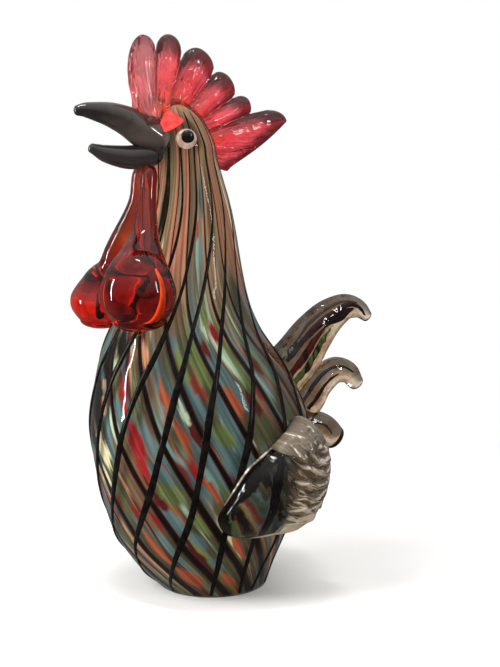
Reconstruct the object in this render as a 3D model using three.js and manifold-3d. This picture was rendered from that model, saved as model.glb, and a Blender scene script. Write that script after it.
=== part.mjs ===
// Hot-worked art-glass rooster, standing on its ground foot.
// Millimetres, +Z up. The bird faces -Y, its left side is +X and the plane X = 0 is its mirror plane.
// Every height is measured from the foot. A place along Y is first measured from the foot's middle,
// and the whole bird is moved at the end so that its outer box stands centred on the origin.

import * as THREE from 'three';
import { mergeVertices } from 'three/addons/utils/BufferGeometryUtils.js';
import Module from 'manifold-3d';

const wasm = await Module();
wasm.setup();

// Body, neck and head: height of each level, its radius, how far its middle lies along Y, and how
// far the hot glass was twisted there, in degrees from the head
const foot = { height: 0, radius: 28.5, middle: 0, twist: -92 };
const heel = { height: 13, radius: 36.4, middle: -4.6, twist: -83 };
const haunch = { height: 34, radius: 46.3, middle: -7.1, twist: -77 };
const belly = { height: 80, radius: 55.8, middle: -6.7, twist: -66.5 };
const breast = { height: 112, radius: 49.2, middle: -10.2, twist: -55 };
const shoulder = { height: 135, radius: 37.8, middle: -14.6, twist: -40 };
const throat = { height: 160, radius: 27.2, middle: -11.8, twist: -29 };
const neck = { height: 195, radius: 20, middle: -10.3, twist: -14 };
const cheek = { height: 226, radius: 16.4, middle: -15, twist: 0 };
const crown = { aboveCheek: 22.5, aheadOfCheek: 4 };
const crownHeight = cheek.height + crown.aboveCheek;
const crownMiddle = cheek.middle - crown.aheadOfCheek;
const crownRoundness = 1.5;
const headNarrowing = 0.88;

// Clear casing over the coloured core
const footWall = 4.5;
const neckWall = 5.5;
const crownWall = 7;
const coreSetBack = 2.2;
const joinGap = 0.3;

// Black canes laid on the casing and twisted with it
const caneCount = 16;
const caneWidth = 3.6;
const caneThickness = 0.8;
const caneFoot = 2;
const caneBelowCheek = 18;
const caneTop = cheek.height - caneBelowCheek;
const canePhase = 0;

// Beak: two tapered horns, each with stations from its root to its tip
const beakRootDepth = 7;
const beakNarrowing = 0.92;
const upperBeak = {
  rootHeight: cheek.height + 3,
  tipLength: 2,
  stations: [
    { out: -beakRootDepth, rise: -2, radius: 8.4 },
    { out: 4, rise: 4.6, radius: 8.4 },
    { out: 12, rise: 9.3, radius: 7.3 },
    { out: 20.5, rise: 12.6, radius: 6 },
    { out: 28, rise: 14.2, radius: 4.6 },
    { out: 33.6, rise: 15, radius: 3.5 },
    { out: 37, rise: 14.8, radius: 2.6 },
  ],
};
const lowerBeak = {
  rootHeight: cheek.height - 4,
  tipLength: 1.8,
  stations: [
    { out: -beakRootDepth, rise: 1, radius: 5.2 },
    { out: 4, rise: -0.4, radius: 5.9 },
    { out: 12, rise: -0.9, radius: 5.8 },
    { out: 19, rise: 0, radius: 5.1 },
    { out: 25, rise: 1.4, radius: 4.1 },
    { out: 28.5, rise: 2.8, radius: 3.1 },
    { out: 31, rise: 3.8, radius: 2.4 },
  ],
};

// Comb: a fan of rounded points around a middle low in the front of the head
const combMiddle = { behindBrow: 0, aboveCheek: -2 };
const combRootRadius = 20;
const combFrontTurn = -21;
const combFrontReach = 24;
const combPoints = [
  { turn: -4.4, reach: 55.8, frontFullness: 0.75, rearFullness: 1, notchTurn: 3.2, notchReach: 47 },
  { turn: 10.3, reach: 57, frontFullness: 1, rearFullness: 1, notchTurn: 19.6, notchReach: 45 },
  { turn: 29, reach: 56, frontFullness: 1, rearFullness: 1, notchTurn: 41.3, notchReach: 48.5 },
  { turn: 50, reach: 55, frontFullness: 1, rearFullness: 1, notchTurn: 59.8, notchReach: 50 },
  { turn: 66, reach: 58, frontFullness: 1, rearFullness: 1, notchTurn: 71.6, notchReach: 55.5 },
  { turn: 79.5, reach: 75, frontFullness: 1, rearFullness: 0, notchTurn: 105, notchReach: 42 },
];
const combRootHalfThickness = 7.4;
const combTipHalfThickness = 4.2;
const combGroove = 0.38;
const combGrooveRun = 2.5;
const combRimRoundness = 6;

// Wattles: two drops that hang under the beak and lie on the breast
const leftDrop = {
  height: 157.5,
  turn: -58,
  width: 18.8,
  depth: 17.5,
  length: 18.5,
  neckRise: 27.3,
  neckReach: 0.42,
  shoulder: 0.89,
};
const rightDrop = {
  height: 149,
  turn: -58,
  width: 18,
  depth: 15.8,
  length: 15,
  neckRise: 26,
  neckReach: 0.55,
  shoulder: 0.72,
};
const wattleDropSink = 3.5;
const wattleStemRadius = 4.3;
const wattleStemSpread = 5.2;
const wattleRootOut = 4;
const wattleNeckSwell = 1.45;
const wattleRoundFrom = 0.7;

// Eyes: a flat white bead with a black bead fused on it
const eyeHeight = cheek.height + 4;
const eyeTurn = -9.5;
const eyeRadius = 4.9;
const eyeBulge = 3;
const pupilRadius = 3.1;
const pupilBulge = 1.5;
const pupilSink = 1.1;
const beadRoot = 6;

// Wings: thick ribbed leaves wrapped round the flanks; outline points as rearward and up
const wingHeight = 64.5;
const wingTurn = 19;
const wingThickness = 16;
const wingRim = 2;
const wingRootSink = 4;
const wingRibCount = 4;
const wingRibDepth = 3;
const wingRibStart = 14;
const wingDomeFullness = 2.6;
const wingDomeRoundness = 0.6;
const wingUndercut = 0.94;
const wingOutline = [
  { rear: 20, up: 30 },
  { rear: 1, up: 22 },
  { rear: -15, up: 12 },
  { rear: -26, up: -5 },
  { rear: -30.5, up: -15 },
  { rear: -25, up: -24 },
  { rear: 2, up: -27.5 },
  { rear: 24, up: -23 },
  { rear: 35, up: -9 },
  { rear: 31.5, up: 6 },
  { rear: 25.5, up: 24 },
];

// Tail: three drawn feathers, each from inside the back to its hooked end
const tailSink = 15;
const upperFeather = {
  rootHeight: 104,
  flatness: 0.72,
  tipLength: 2.4,
  stations: [
    { out: -tailSink, rise: -8, radius: 14 },
    { out: 5, rise: 9, radius: 13.6 },
    { out: 15.5, rise: 22, radius: 11.8 },
    { out: 25.5, rise: 31.2, radius: 9.6 },
    { out: 35.5, rise: 35.4, radius: 7.2 },
    { out: 43.4, rise: 33.8, radius: 5 },
    { out: 48.4, rise: 29.8, radius: 3.2 },
  ],
};
const middleFeather = {
  rootHeight: 88,
  flatness: 0.8,
  tipLength: 3.4,
  stations: [
    { out: -tailSink, rise: -14, radius: 9 },
    { out: 7, rise: 1, radius: 8.4 },
    { out: 14, rise: 11, radius: 8 },
    { out: 23, rise: 17.4, radius: 7.4 },
    { out: 31.5, rise: 15.8, radius: 6 },
    { out: 36.6, rise: 10, radius: 4.4 },
  ],
};
const lowerFeather = {
  rootHeight: 76,
  flatness: 0.9,
  tipLength: 3.5,
  stations: [
    { out: -tailSink, rise: 1, radius: 8.5 },
    { out: 9, rise: 1, radius: 8 },
    { out: 16.5, rise: -2, radius: 7.8 },
    { out: 23, rise: -7.4, radius: 6.6 },
  ],
};

// Fineness of the surfaces
const bodyColumns = caneCount * 2;
const bodyLevels = 18;
const headLevels = 2;
const domeLevels = 5;
const coreColumns = 24;
const coreLevels = 14;
const limbSides = 14;
const limbSteps = 11;
const tipClimbs = [0.5, 0.85];
const combRiseShares = [0.05, 0.25, 0.55];
const combFallShares = [0, 0.45, 0.75, 0.95, 1];
const combRingShares = [0, 0.3, 0.55, 0.75, 0.9, 0.975];
const beadRows = 5;
const beadSides = 18;
const wingColumns = 30;
const wingRingShares = [1, 0.98, 0.93, 0.85, 0.75, 0.64, 0.52, 0.4, 0.26, 0.12];
const cutDepth = 8;
const mergeDistance = 1e-4;

const radians = THREE.MathUtils.degToRad;

// Smooth value of a key between stations; the radius has a level slope at the cheek, where the
// crown's dome begins
const stations = [foot, heel, haunch, belly, breast, shoulder, throat, neck, cheek];
function slopeAt(list, index, along, key) {
  const before = list[Math.max(index - 1, 0)];
  const after = list[Math.min(index + 1, list.length - 1)];
  if (list === stations && index === list.length - 1 && key === 'radius') return 0;
  return (after[key] - before[key]) / (after[along] - before[along]);
}
function smoothValue(list, along, key, at) {
  let index = 0;
  while (index < list.length - 2 && at > list[index + 1][along]) index += 1;
  const start = list[index];
  const end = list[index + 1];
  const span = end[along] - start[along];
  const t = (at - start[along]) / span;
  const rise = end[key] - start[key];
  const startSlope = slopeAt(list, index, along, key) * span;
  const endSlope = slopeAt(list, index + 1, along, key) * span;
  const bend = startSlope + endSlope - 2 * rise;
  return start[key] + t * (startSlope + t * (3 * rise - 2 * startSlope - endSlope + t * bend));
}

// Share of the cheek's radius that is left at a share of the climb to the crown
function crownShare(climb) {
  return Math.sqrt(Math.max(1 - climb ** crownRoundness, 0));
}

// Section of the body at a height: its middle along Y and its half sizes along X and Y
function sectionAt(height) {
  const side = Math.min(height, cheek.height);
  let radius = smoothValue(stations, 'height', 'radius', side);
  let middle = smoothValue(stations, 'height', 'middle', side);
  if (height > cheek.height) {
    const climb = Math.min((height - cheek.height) / crown.aboveCheek, 1);
    radius *= crownShare(climb);
    middle -= crown.aheadOfCheek * climb;
  }
  const narrowing = THREE.MathUtils.smoothstep(height, throat.height, cheek.height);
  const width = radius * THREE.MathUtils.lerp(1, headNarrowing, narrowing);
  return { middle, width, depth: radius };
}

// Twist of the glass at a height: none in the head, most at the foot
function twistAt(height) {
  return smoothValue(stations, 'height', 'twist', Math.min(height, cheek.height));
}

// Point on the body at a height and a turn from +X towards +Y, lifted off the surface
function onBody(height, turn, lift = 0) {
  const section = sectionAt(height);
  const angle = radians(turn);
  const x = Math.cos(angle) * (section.width + lift);
  const y = section.middle + Math.sin(angle) * (section.depth + lift);
  return new THREE.Vector3(x, y, height);
}

// Closed surface through rings of points that turn anticlockwise about the way from first to last
function loft(rings, startPoint, endPoint) {
  const count = rings[0].length;
  const points = [...rings.flat(), startPoint, endPoint];
  const start = points.length - 2;
  const end = points.length - 1;
  const last = (rings.length - 1) * count;
  const faces = [];
  for (let i = 0; i < count; i += 1) {
    const next = (i + 1) % count;
    for (let row = 0; row < last; row += count) {
      faces.push(row + i, row + next, row + count + next);
      faces.push(row + i, row + count + next, row + count + i);
    }
    faces.push(start, next, i);
    faces.push(end, last + i, last + next);
  }
  const geometry = new THREE.BufferGeometry().setFromPoints(points);
  geometry.setIndex(faces);
  return geometry;
}

// Joins and cuts
function merged(geometry) {
  const plain = geometry.clone();
  plain.deleteAttribute('normal');
  plain.deleteAttribute('uv');
  return mergeVertices(plain, mergeDistance);
}
function toSolid(geometry) {
  const shell = merged(geometry);
  const vertProperties = new Float32Array(shell.attributes.position.array);
  const triVerts = new Uint32Array(shell.index.array);
  return new wasm.Manifold(new wasm.Mesh({ numProp: 3, vertProperties, triVerts }));
}
function toGeometry(solid) {
  const mesh = solid.getMesh();
  const geometry = new THREE.BufferGeometry();
  geometry.setAttribute('position', new THREE.BufferAttribute(new Float32Array(mesh.vertProperties), 3));
  geometry.setIndex(new THREE.BufferAttribute(new Uint32Array(mesh.triVerts), 1));
  return geometry;
}
function cut(geometry, ...tools) {
  let solid = toSolid(geometry);
  for (const tool of tools) solid = solid.subtract(toSolid(tool));
  return toGeometry(solid);
}

// The other side's copy of a piece, its faces turned to point out again
function mirrored(geometry) {
  const copy = geometry.clone().applyMatrix4(new THREE.Matrix4().makeScale(-1, 1, 1));
  const faces = copy.index.array;
  for (let i = 0; i < faces.length; i += 3) [faces[i], faces[i + 1]] = [faces[i + 1], faces[i]];
  return copy;
}

// Heights of the body's rings up to the cheek; the canes use the same ones
function levelsBetween(low, high, count) {
  return Array.from({ length: count + 1 }, (_, i) => THREE.MathUtils.lerp(low, high, i / count));
}
const caneLevels = levelsBetween(caneFoot, caneTop, bodyLevels);
const headRise = levelsBetween(caneTop, cheek.height, headLevels).slice(1);

// The body's outer surface, grown by a distance or, with a negative one, shrunk
function bodySurface(grow, levels, columns, bottom) {
  const ringAt = (height, width, depth, middle) => Array.from({ length: columns }, (_, i) => {
    const angle = radians(canePhase + twistAt(height) + (i * 360) / columns);
    return new THREE.Vector3(Math.cos(angle) * width, middle + Math.sin(angle) * depth, height);
  });
  const rings = levels.map((height) => {
    const section = sectionAt(height);
    return ringAt(height, section.width + grow, section.depth + grow, section.middle);
  });
  rings[0].forEach((point) => point.setZ(bottom));
  const top = crownHeight + grow;
  const base = sectionAt(cheek.height);
  for (let i = 1; i < domeLevels; i += 1) {
    const climb = Math.sin((i / domeLevels) * (Math.PI / 2));
    const share = crownShare(climb);
    const height = THREE.MathUtils.lerp(cheek.height, top, climb);
    const middle = THREE.MathUtils.lerp(base.middle, crownMiddle, climb);
    rings.push(ringAt(height, (base.width + grow) * share, (base.depth + grow) * share, middle));
  }
  const start = new THREE.Vector3(0, foot.middle, bottom);
  return loft(rings, start, new THREE.Vector3(0, crownMiddle, top));
}
const outerLevels = [foot.height, ...caneLevels, ...headRise];
const bodyEnvelope = (grow) => bodySurface(grow, outerLevels, bodyColumns, foot.height - cutDepth);
const headSeat = bodyEnvelope(joinGap);
const flankSeat = bodyEnvelope(joinGap * 2 + caneThickness);

// Room for the canes' upper ends where a piece seats on the bare glass of the head
function caneRoom() {
  const grow = joinGap * 2 + caneThickness;
  const rings = [...caneLevels, caneTop + joinGap].map((height) => {
    return Array.from({ length: bodyColumns }, (_, i) => {
      const turn = canePhase + twistAt(height) + (i * 360) / bodyColumns;
      return onBody(height, turn, grow);
    });
  });
  const middleAt = (height) => new THREE.Vector3(0, sectionAt(height).middle, height);
  return loft(rings, middleAt(caneFoot), middleAt(caneTop + joinGap));
}

// Coloured core, and the hollow for it in the casing. The core stands back from the breast,
// so that the clear glass is thickest over the front of the neck.
function coreSurface(gap, bottom) {
  const levels = levelsBetween(foot.height, cheek.height, coreLevels);
  const top = crownHeight - crownWall + gap;
  const ringAt = (height, share, middle, radius) => Array.from({ length: coreColumns }, (_, i) => {
    const angle = radians(canePhase + twistAt(height) + (i * 360) / coreColumns);
    const reach = radius * share;
    return new THREE.Vector3(Math.cos(angle) * reach, middle + Math.sin(angle) * reach, height);
  });
  const placeAt = (height) => {
    const section = sectionAt(height);
    const climb = THREE.MathUtils.smoothstep(height, belly.height, neck.height);
    const wall = THREE.MathUtils.lerp(footWall, neckWall, climb);
    return { middle: section.middle + coreSetBack * climb, radius: section.width - wall + gap };
  };
  const rings = levels.map((height) => ringAt(height, 1, placeAt(height).middle, placeAt(height).radius));
  rings[0].forEach((point) => point.setZ(bottom));
  const base = placeAt(cheek.height);
  for (let i = 1; i < domeLevels; i += 1) {
    const climb = Math.sin((i / domeLevels) * (Math.PI / 2));
    const share = crownShare(climb);
    const height = THREE.MathUtils.lerp(cheek.height, top, climb);
    rings.push(ringAt(height, share, THREE.MathUtils.lerp(base.middle, crownMiddle, climb), base.radius));
  }
  return loft(rings, new THREE.Vector3(0, foot.middle, bottom), new THREE.Vector3(0, crownMiddle, top));
}
const core = coreSurface(0, foot.height);
const casing = cut(
  bodySurface(0, outerLevels, bodyColumns, foot.height),
  coreSurface(joinGap, foot.height - cutDepth),
);

// One black cane: a flat strip that follows one column of the body's surface
function caneStrip(index) {
  const rings = caneLevels.map((height) => {
    const section = sectionAt(height);
    const turn = canePhase + twistAt(height) + (index * 360) / caneCount;
    const outward = new THREE.Vector3(Math.cos(radians(turn)), Math.sin(radians(turn)), 0);
    const sideways = new THREE.Vector3(-outward.y, outward.x, 0);
    const half = (caneWidth / 2) * (section.width / belly.radius);
    const seat = onBody(height, turn, joinGap);
    const corner = (side, lift) => {
      return seat.clone().addScaledVector(sideways, side).addScaledVector(outward, lift);
    };
    return [
      corner(-half, caneThickness),
      corner(half, caneThickness),
      corner(half, 0),
      corner(-half, 0),
    ];
  });
  const centre = (ring) => ring[0].clone().add(ring[2]).multiplyScalar(0.5);
  return loft(rings, centre(rings[0]), centre(rings.at(-1)));
}

// A drawn limb of glass: an oval section along a smooth path, with a rounded tip
function limb(spec, sideAxis, tipLength, grow = 0) {
  const path = new THREE.CatmullRomCurve3(spec.map((station) => station.at), false, 'centripetal');
  const spread = { wide: [], deep: [] };
  spec.forEach((station, index) => {
    spread.wide.push({ t: index / (spec.length - 1), size: station.wide });
    spread.deep.push({ t: index / (spec.length - 1), size: station.deep });
  });
  const tip = spec.at(-1);
  const rings = [];
  const ringAt = (centre, tangent, wide, deep) => {
    const side = sideAxis.clone().addScaledVector(tangent, -sideAxis.dot(tangent)).normalize();
    const across = new THREE.Vector3().crossVectors(tangent, side);
    return Array.from({ length: limbSides }, (_, i) => {
      const angle = (i / limbSides) * Math.PI * 2;
      return centre.clone()
        .addScaledVector(side, Math.cos(angle) * (wide + grow))
        .addScaledVector(across, Math.sin(angle) * (deep + grow));
    });
  };
  for (let i = 0; i <= limbSteps; i += 1) {
    const t = i / limbSteps;
    const wide = smoothValue(spread.wide, 't', 'size', t);
    const deep = smoothValue(spread.deep, 't', 'size', t);
    rings.push(ringAt(path.getPoint(t), path.getTangent(t), wide, deep));
  }
  const endTangent = path.getTangent(1);
  for (const climb of tipClimbs) {
    const share = Math.sqrt(1 - climb * climb);
    const centre = tip.at.clone().addScaledVector(endTangent, (tipLength + grow) * climb);
    rings.push(ringAt(centre, endTangent, tip.wide * share, tip.deep * share));
  }
  const end = tip.at.clone().addScaledVector(endTangent, tipLength + grow);
  return loft(rings, path.getPoint(0), end);
}
const acrossBird = new THREE.Vector3(1, 0, 0);

// Beak: both horns start inside the front of the head
function beakHorn(horn, grow) {
  const front = onBody(horn.rootHeight, -90);
  const spec = horn.stations.map((station) => ({
    at: new THREE.Vector3(0, front.y - station.out, horn.rootHeight + station.rise),
    wide: station.radius * beakNarrowing,
    deep: station.radius,
  }));
  return limb(spec, acrossBird, horn.tipLength, grow);
}
const upperBeakSeat = beakHorn(upperBeak, joinGap);
const lowerBeakSeat = beakHorn(lowerBeak, joinGap);
const upperHorn = cut(beakHorn(upperBeak, 0), headSeat);
const lowerHorn = cut(beakHorn(lowerBeak, 0), headSeat, upperBeakSeat);

// Comb: half thickness falls towards the rim, and a groove runs in from each notch
function combReachAt(turn) {
  const index = Math.max(combPoints.findIndex((point) => turn <= point.notchTurn), 0);
  const point = combPoints[index];
  const before = combPoints[index - 1] ?? { notchTurn: combFrontTurn, notchReach: combFrontReach };
  const near = turn < point.turn ? before : point;
  const fullness = turn < point.turn ? point.frontFullness : point.rearFullness;
  const away = Math.min(Math.abs((turn - point.turn) / (near.notchTurn - point.turn)), 1);
  const lobe = (1 - away ** (1 + fullness)) ** (1.5 - fullness);
  const reach = near.notchReach + (point.reach - near.notchReach) * lobe;
  return { reach, ridge: Math.cos((away * Math.PI) / 2) };
}
function combTurns() {
  const turns = [combFrontTurn];
  combPoints.forEach((point, index) => {
    const notch = combPoints[index - 1]?.notchTurn ?? combFrontTurn;
    for (const share of combRiseShares) turns.push(THREE.MathUtils.lerp(notch, point.turn, share));
    for (const share of combFallShares) {
      turns.push(THREE.MathUtils.lerp(point.turn, point.notchTurn, share));
    }
  });
  return turns;
}
function combFan() {
  const brow = sectionAt(cheek.height);
  const middleY = brow.middle - brow.depth + combMiddle.behindBrow;
  const middleZ = cheek.height + combMiddle.aboveCheek;
  const turns = combTurns();
  const pointAt = (turn, share, side) => {
    const { reach, ridge } = combReachAt(turn);
    const out = THREE.MathUtils.lerp(combRootRadius, reach, share);
    const rim = Math.sqrt(Math.max(1 - share ** combRimRoundness, 0));
    const plain = THREE.MathUtils.lerp(combRootHalfThickness, combTipHalfThickness, share);
    const groove = 1 - combGroove * (1 - ridge) * Math.sin(share * combGrooveRun);
    const angle = radians(turn);
    const place = new THREE.Vector3(side * plain * rim * groove, middleY, middleZ);
    place.y += Math.sin(angle) * out;
    place.z += Math.cos(angle) * out;
    return place;
  };
  // One ring for each turn: up one face, over the rim and down the other face
  const rings = turns.map((turn) => {
    const right = combRingShares.map((share) => pointAt(turn, share, -1));
    const left = combRingShares.map((share) => pointAt(turn, share, 1)).reverse();
    return [...right, pointAt(turn, 1, 0), ...left];
  });
  const centre = (ring) => {
    return ring.reduce((sum, point) => sum.add(point), new THREE.Vector3()).divideScalar(ring.length);
  };
  return loft(rings, centre(rings[0]), centre(rings.at(-1)));
}
const comb = cut(combFan(), headSeat, caneRoom(), upperBeakSeat);

// Wattle: a stem from under the lower beak that swells into a drop lying on the breast
function wattle(drop) {
  const jaw = lowerBeak.stations[1];
  const chin = onBody(lowerBeak.rootHeight, -90);
  const rootHeight = lowerBeak.rootHeight + jaw.rise;
  const root = new THREE.Vector3(wattleStemSpread, chin.y - wattleRootOut, rootHeight);
  const middle = onBody(drop.height, drop.turn, drop.depth - wattleDropSink);
  const dropTop = drop.height + drop.neckRise;
  const placeAt = (share, height) => new THREE.Vector3().lerpVectors(root, middle, share).setZ(height);
  const stem = (share, height, swell) => {
    return { at: placeAt(share, height), wide: wattleStemRadius * swell, deep: wattleStemRadius * swell };
  };
  const bulb = (share, rise, swell) => {
    return { at: placeAt(share, drop.height + rise), wide: drop.width * swell, deep: drop.depth * swell };
  };
  const spec = [
    stem(0, rootHeight, 1),
    stem(0.12, THREE.MathUtils.lerp(rootHeight, dropTop, 0.5), 1),
    stem(drop.neckReach, dropTop, wattleNeckSwell),
    bulb(0.72, drop.neckRise * 0.585, drop.shoulder * 0.65),
    bulb(0.92, drop.neckRise * 0.3, drop.shoulder),
    bulb(1, 0, 1),
    bulb(1, -drop.length * 0.4, 0.917),
    bulb(1, -drop.length * wattleRoundFrom, 0.714),
  ];
  const along = radians(drop.turn);
  const alongBreast = new THREE.Vector3(-Math.sin(along), Math.cos(along), 0);
  return limb(spec, alongBreast, drop.length * (1 - wattleRoundFrom));
}
const wattleSeats = [flankSeat, lowerBeakSeat, upperBeakSeat];
const wattleLeft = cut(wattle(leftDrop), ...wattleSeats);
const wattleRight = cut(mirrored(wattle(rightDrop)), ...wattleSeats);

// Bead on the head: a domed disc whose back is cut to the head's surface
function bead(radius, bulge, raise, grow = 0) {
  const profile = [new THREE.Vector2(0, -beadRoot), new THREE.Vector2(radius + grow, -beadRoot)];
  for (let i = 0; i < beadRows; i += 1) {
    const angle = (i / beadRows) * (Math.PI / 2);
    profile.push(new THREE.Vector2(Math.cos(angle) * (radius + grow), Math.sin(angle) * (bulge + grow)));
  }
  profile.push(new THREE.Vector2(0, bulge + grow));
  const disc = new THREE.LatheGeometry(profile, beadSides);
  const seat = onBody(eyeHeight, eyeTurn);
  const outward = onBody(eyeHeight, eyeTurn, beadRoot).sub(seat).normalize();
  const turn = new THREE.Quaternion().setFromUnitVectors(new THREE.Vector3(0, 1, 0), outward);
  disc.applyQuaternion(turn);
  seat.addScaledVector(outward, raise);
  disc.translate(seat.x, seat.y, seat.z);
  return merged(disc);
}
const eyeWhite = bead(eyeRadius, eyeBulge, 0);
const eyeEnvelope = bead(eyeRadius, eyeBulge, 0, joinGap);
const pupil = bead(pupilRadius, pupilBulge, eyeBulge - pupilSink + joinGap);
const eyeLeft = cut(eyeWhite, headSeat);
const eyeRight = cut(mirrored(eyeWhite), headSeat);
const pupilLeft = cut(pupil, eyeEnvelope, headSeat);
const pupilRight = cut(mirrored(pupil), mirrored(eyeEnvelope), headSeat);

// Wing: domed leaf wrapped round the flank, smooth in front and ribbed behind
function wingLeaf() {
  const outline = new THREE.CatmullRomCurve3(
    wingOutline.map((point) => new THREE.Vector3(point.rear, point.up, 0)),
    true,
  );
  const edge = Array.from({ length: wingColumns }, (_, i) => outline.getPoint(i / wingColumns));
  const flank = sectionAt(wingHeight).width;
  const placeAt = (rear, up, lift) => {
    const turn = wingTurn + THREE.MathUtils.radToDeg(rear / flank);
    return onBody(wingHeight + up, turn, lift);
  };
  const liftAt = (rear, share) => {
    const dome = wingThickness * (1 - share ** wingDomeFullness) ** wingDomeRoundness;
    const behind = THREE.MathUtils.smoothstep(rear, 0, wingRibStart);
    const ribs = Math.sin(share * wingRibCount * Math.PI * 2) * share * (1 - share);
    return dome + wingRibDepth * behind * ribs;
  };
  const rings = wingRingShares.map((share) => edge.map((point) => {
    const rear = point.x * share;
    return placeAt(rear, point.y * share, wingRim + liftAt(rear, share));
  }));
  const under = edge.map((point) => {
    return placeAt(point.x * wingUndercut, point.y * wingUndercut, -wingRootSink);
  });
  const bottom = placeAt(0, 0, -wingRootSink);
  return loft([under, ...rings], bottom, placeAt(0, 0, wingRim + wingThickness));
}
const wingLeft = cut(wingLeaf(), flankSeat);
const wingRight = cut(mirrored(wingLeaf()), flankSeat);

// Tail: each feather starts inside the back, is cut to it, and clears the feather above
function feather(shape, grow = 0) {
  const back = onBody(shape.rootHeight, 90);
  const spec = shape.stations.map((station) => ({
    at: new THREE.Vector3(0, back.y + station.out, shape.rootHeight + station.rise),
    wide: station.radius * shape.flatness,
    deep: station.radius,
  }));
  return limb(spec, acrossBird, shape.tipLength, grow);
}
const tailUpper = cut(feather(upperFeather), flankSeat);
const tailMiddle = cut(feather(middleFeather), flankSeat, feather(upperFeather, joinGap));
const tailLower = cut(
  feather(lowerFeather),
  flankSeat,
  feather(upperFeather, joinGap),
  feather(middleFeather, joinGap),
);

// Materials
const glass = (color, roughness) => () => new THREE.MeshStandardMaterial({ color, roughness, metalness: 0 });
const clearGlass = glass('#c9cec6', 0.05);
const colouredGlass = glass('#6f8272', 0.12);
const blackGlass = glass('#16130f', 0.08);
const redGlass = glass('#b32024', 0.06);
const smokyGlass = glass('#6b5442', 0.06);
const whiteGlass = glass('#dccbc6', 0.12);

// The bird
const bird = new THREE.Group();
function add(name, geometry, material) {
  const piece = geometry.index ? geometry.toNonIndexed() : geometry;
  piece.computeVertexNormals();
  const mesh = new THREE.Mesh(piece, material());
  mesh.name = name;
  bird.add(mesh);
}
add('body_core', core, colouredGlass);
add('body_casing', casing, clearGlass);
for (let index = 0; index < caneCount; index += 1) {
  add(`cane_${String(index + 1).padStart(2, '0')}`, caneStrip(index), blackGlass);
}
add('beak_upper', upperHorn, blackGlass);
add('beak_lower', lowerHorn, blackGlass);
add('comb', comb, redGlass);
add('wattle_left', wattleLeft, redGlass);
add('wattle_right', wattleRight, redGlass);
add('eye_left', eyeLeft, whiteGlass);
add('eye_right', eyeRight, whiteGlass);
add('pupil_left', pupilLeft, blackGlass);
add('pupil_right', pupilRight, blackGlass);
add('wing_left', wingLeft, clearGlass);
add('wing_right', wingRight, clearGlass);
add('tail_feather_upper', tailUpper, smokyGlass);
add('tail_feather_middle', tailMiddle, smokyGlass);
add('tail_feather_lower', tailLower, smokyGlass);

const outerBox = new THREE.Box3().setFromObject(bird);
bird.position.y = -(outerBox.min.y + outerBox.max.y) / 2;
const rooster = new THREE.Group();
rooster.add(bird);

export default rooster;
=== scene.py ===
import math

import bpy
import numpy as np
from mathutils import Matrix, Vector, noise


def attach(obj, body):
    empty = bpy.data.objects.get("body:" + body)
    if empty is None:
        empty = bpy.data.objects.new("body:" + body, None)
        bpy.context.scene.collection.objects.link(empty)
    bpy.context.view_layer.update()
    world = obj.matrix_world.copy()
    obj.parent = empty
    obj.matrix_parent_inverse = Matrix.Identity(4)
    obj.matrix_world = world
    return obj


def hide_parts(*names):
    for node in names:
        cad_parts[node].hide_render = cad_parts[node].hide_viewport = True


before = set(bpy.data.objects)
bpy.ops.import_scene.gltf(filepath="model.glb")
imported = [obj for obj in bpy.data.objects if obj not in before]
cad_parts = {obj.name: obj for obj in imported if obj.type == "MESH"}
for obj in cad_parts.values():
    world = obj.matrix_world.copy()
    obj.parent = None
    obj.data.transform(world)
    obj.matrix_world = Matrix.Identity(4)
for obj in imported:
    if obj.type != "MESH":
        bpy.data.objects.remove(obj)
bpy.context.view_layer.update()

# Coloured gather: the solid middle of the bird, hot glass rolled in coloured chips and drawn out,
# so that each chip became a long streak. Thin dark threads lie on it and wind to the bird's left.
# It was cased in clear glass while hot, and shows only through that glass.
foot_ahead = -11.5964  # where the foot's middle stands along Y; all sizes here are in millimetres
body = [  # height, radius, middle along Y, turn of the canes, turn of the threads and streaks
    (0, 28.5, 0, -92, 70),
    (13, 36.4, -4.6, -83, 59),
    (34, 46.3, -7.1, -77, 40),
    (80, 55.8, -6.7, -66.5, 8),
    (112, 49.2, -10.2, -55, -6.5),
    (135, 37.8, -14.6, -40, -14),
    (160, 27.2, -11.8, -29, -26.5),
    (195, 20, -10.3, -14, -28.5),
    (226, 16.4, -15, 0, -10),
]
RADIUS, MIDDLE, CANE_TURN, THREAD_TURN = 1, 2, 3, 4
widest = body[3][RADIUS]
cheek_height, crown_height, crown_middle, crown_curve = 226, 248.5, -19, 1.5
narrow_from, head_narrowing = 160, 0.88  # the head is narrower than it is deep


def slope(rows, i, column):
    """Slope of a column at a row. The body's radius is level at the cheek, where the crown begins."""
    if rows is body and column == RADIUS and i == len(rows) - 1:
        return 0
    before, after = rows[max(i - 1, 0)], rows[min(i + 1, len(rows) - 1)]
    return (after[column] - before[column]) / (after[0] - before[0])


def smooth(rows, column, at):
    """Smooth value of a column of rows, read at a value of their first column."""
    i = 0
    while i < len(rows) - 2 and at > rows[i + 1][0]:
        i += 1
    (a, b), span = rows[i : i + 2], rows[i + 1][0] - rows[i][0]
    t, rise = (at - a[0]) / span, b[column] - a[column]
    first, last = slope(rows, i, column) * span, slope(rows, i + 1, column) * span
    bend = first + last - 2 * rise
    return a[column] + t * (first + t * (3 * rise - 2 * first - last + t * bend))


def eased(low, high, at):
    """Share of the way from low to high, from 0 to 1, that starts and ends gently."""
    t = min(max((at - low) / (high - low), 0), 1)
    return t * t * (3 - 2 * t)


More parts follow.
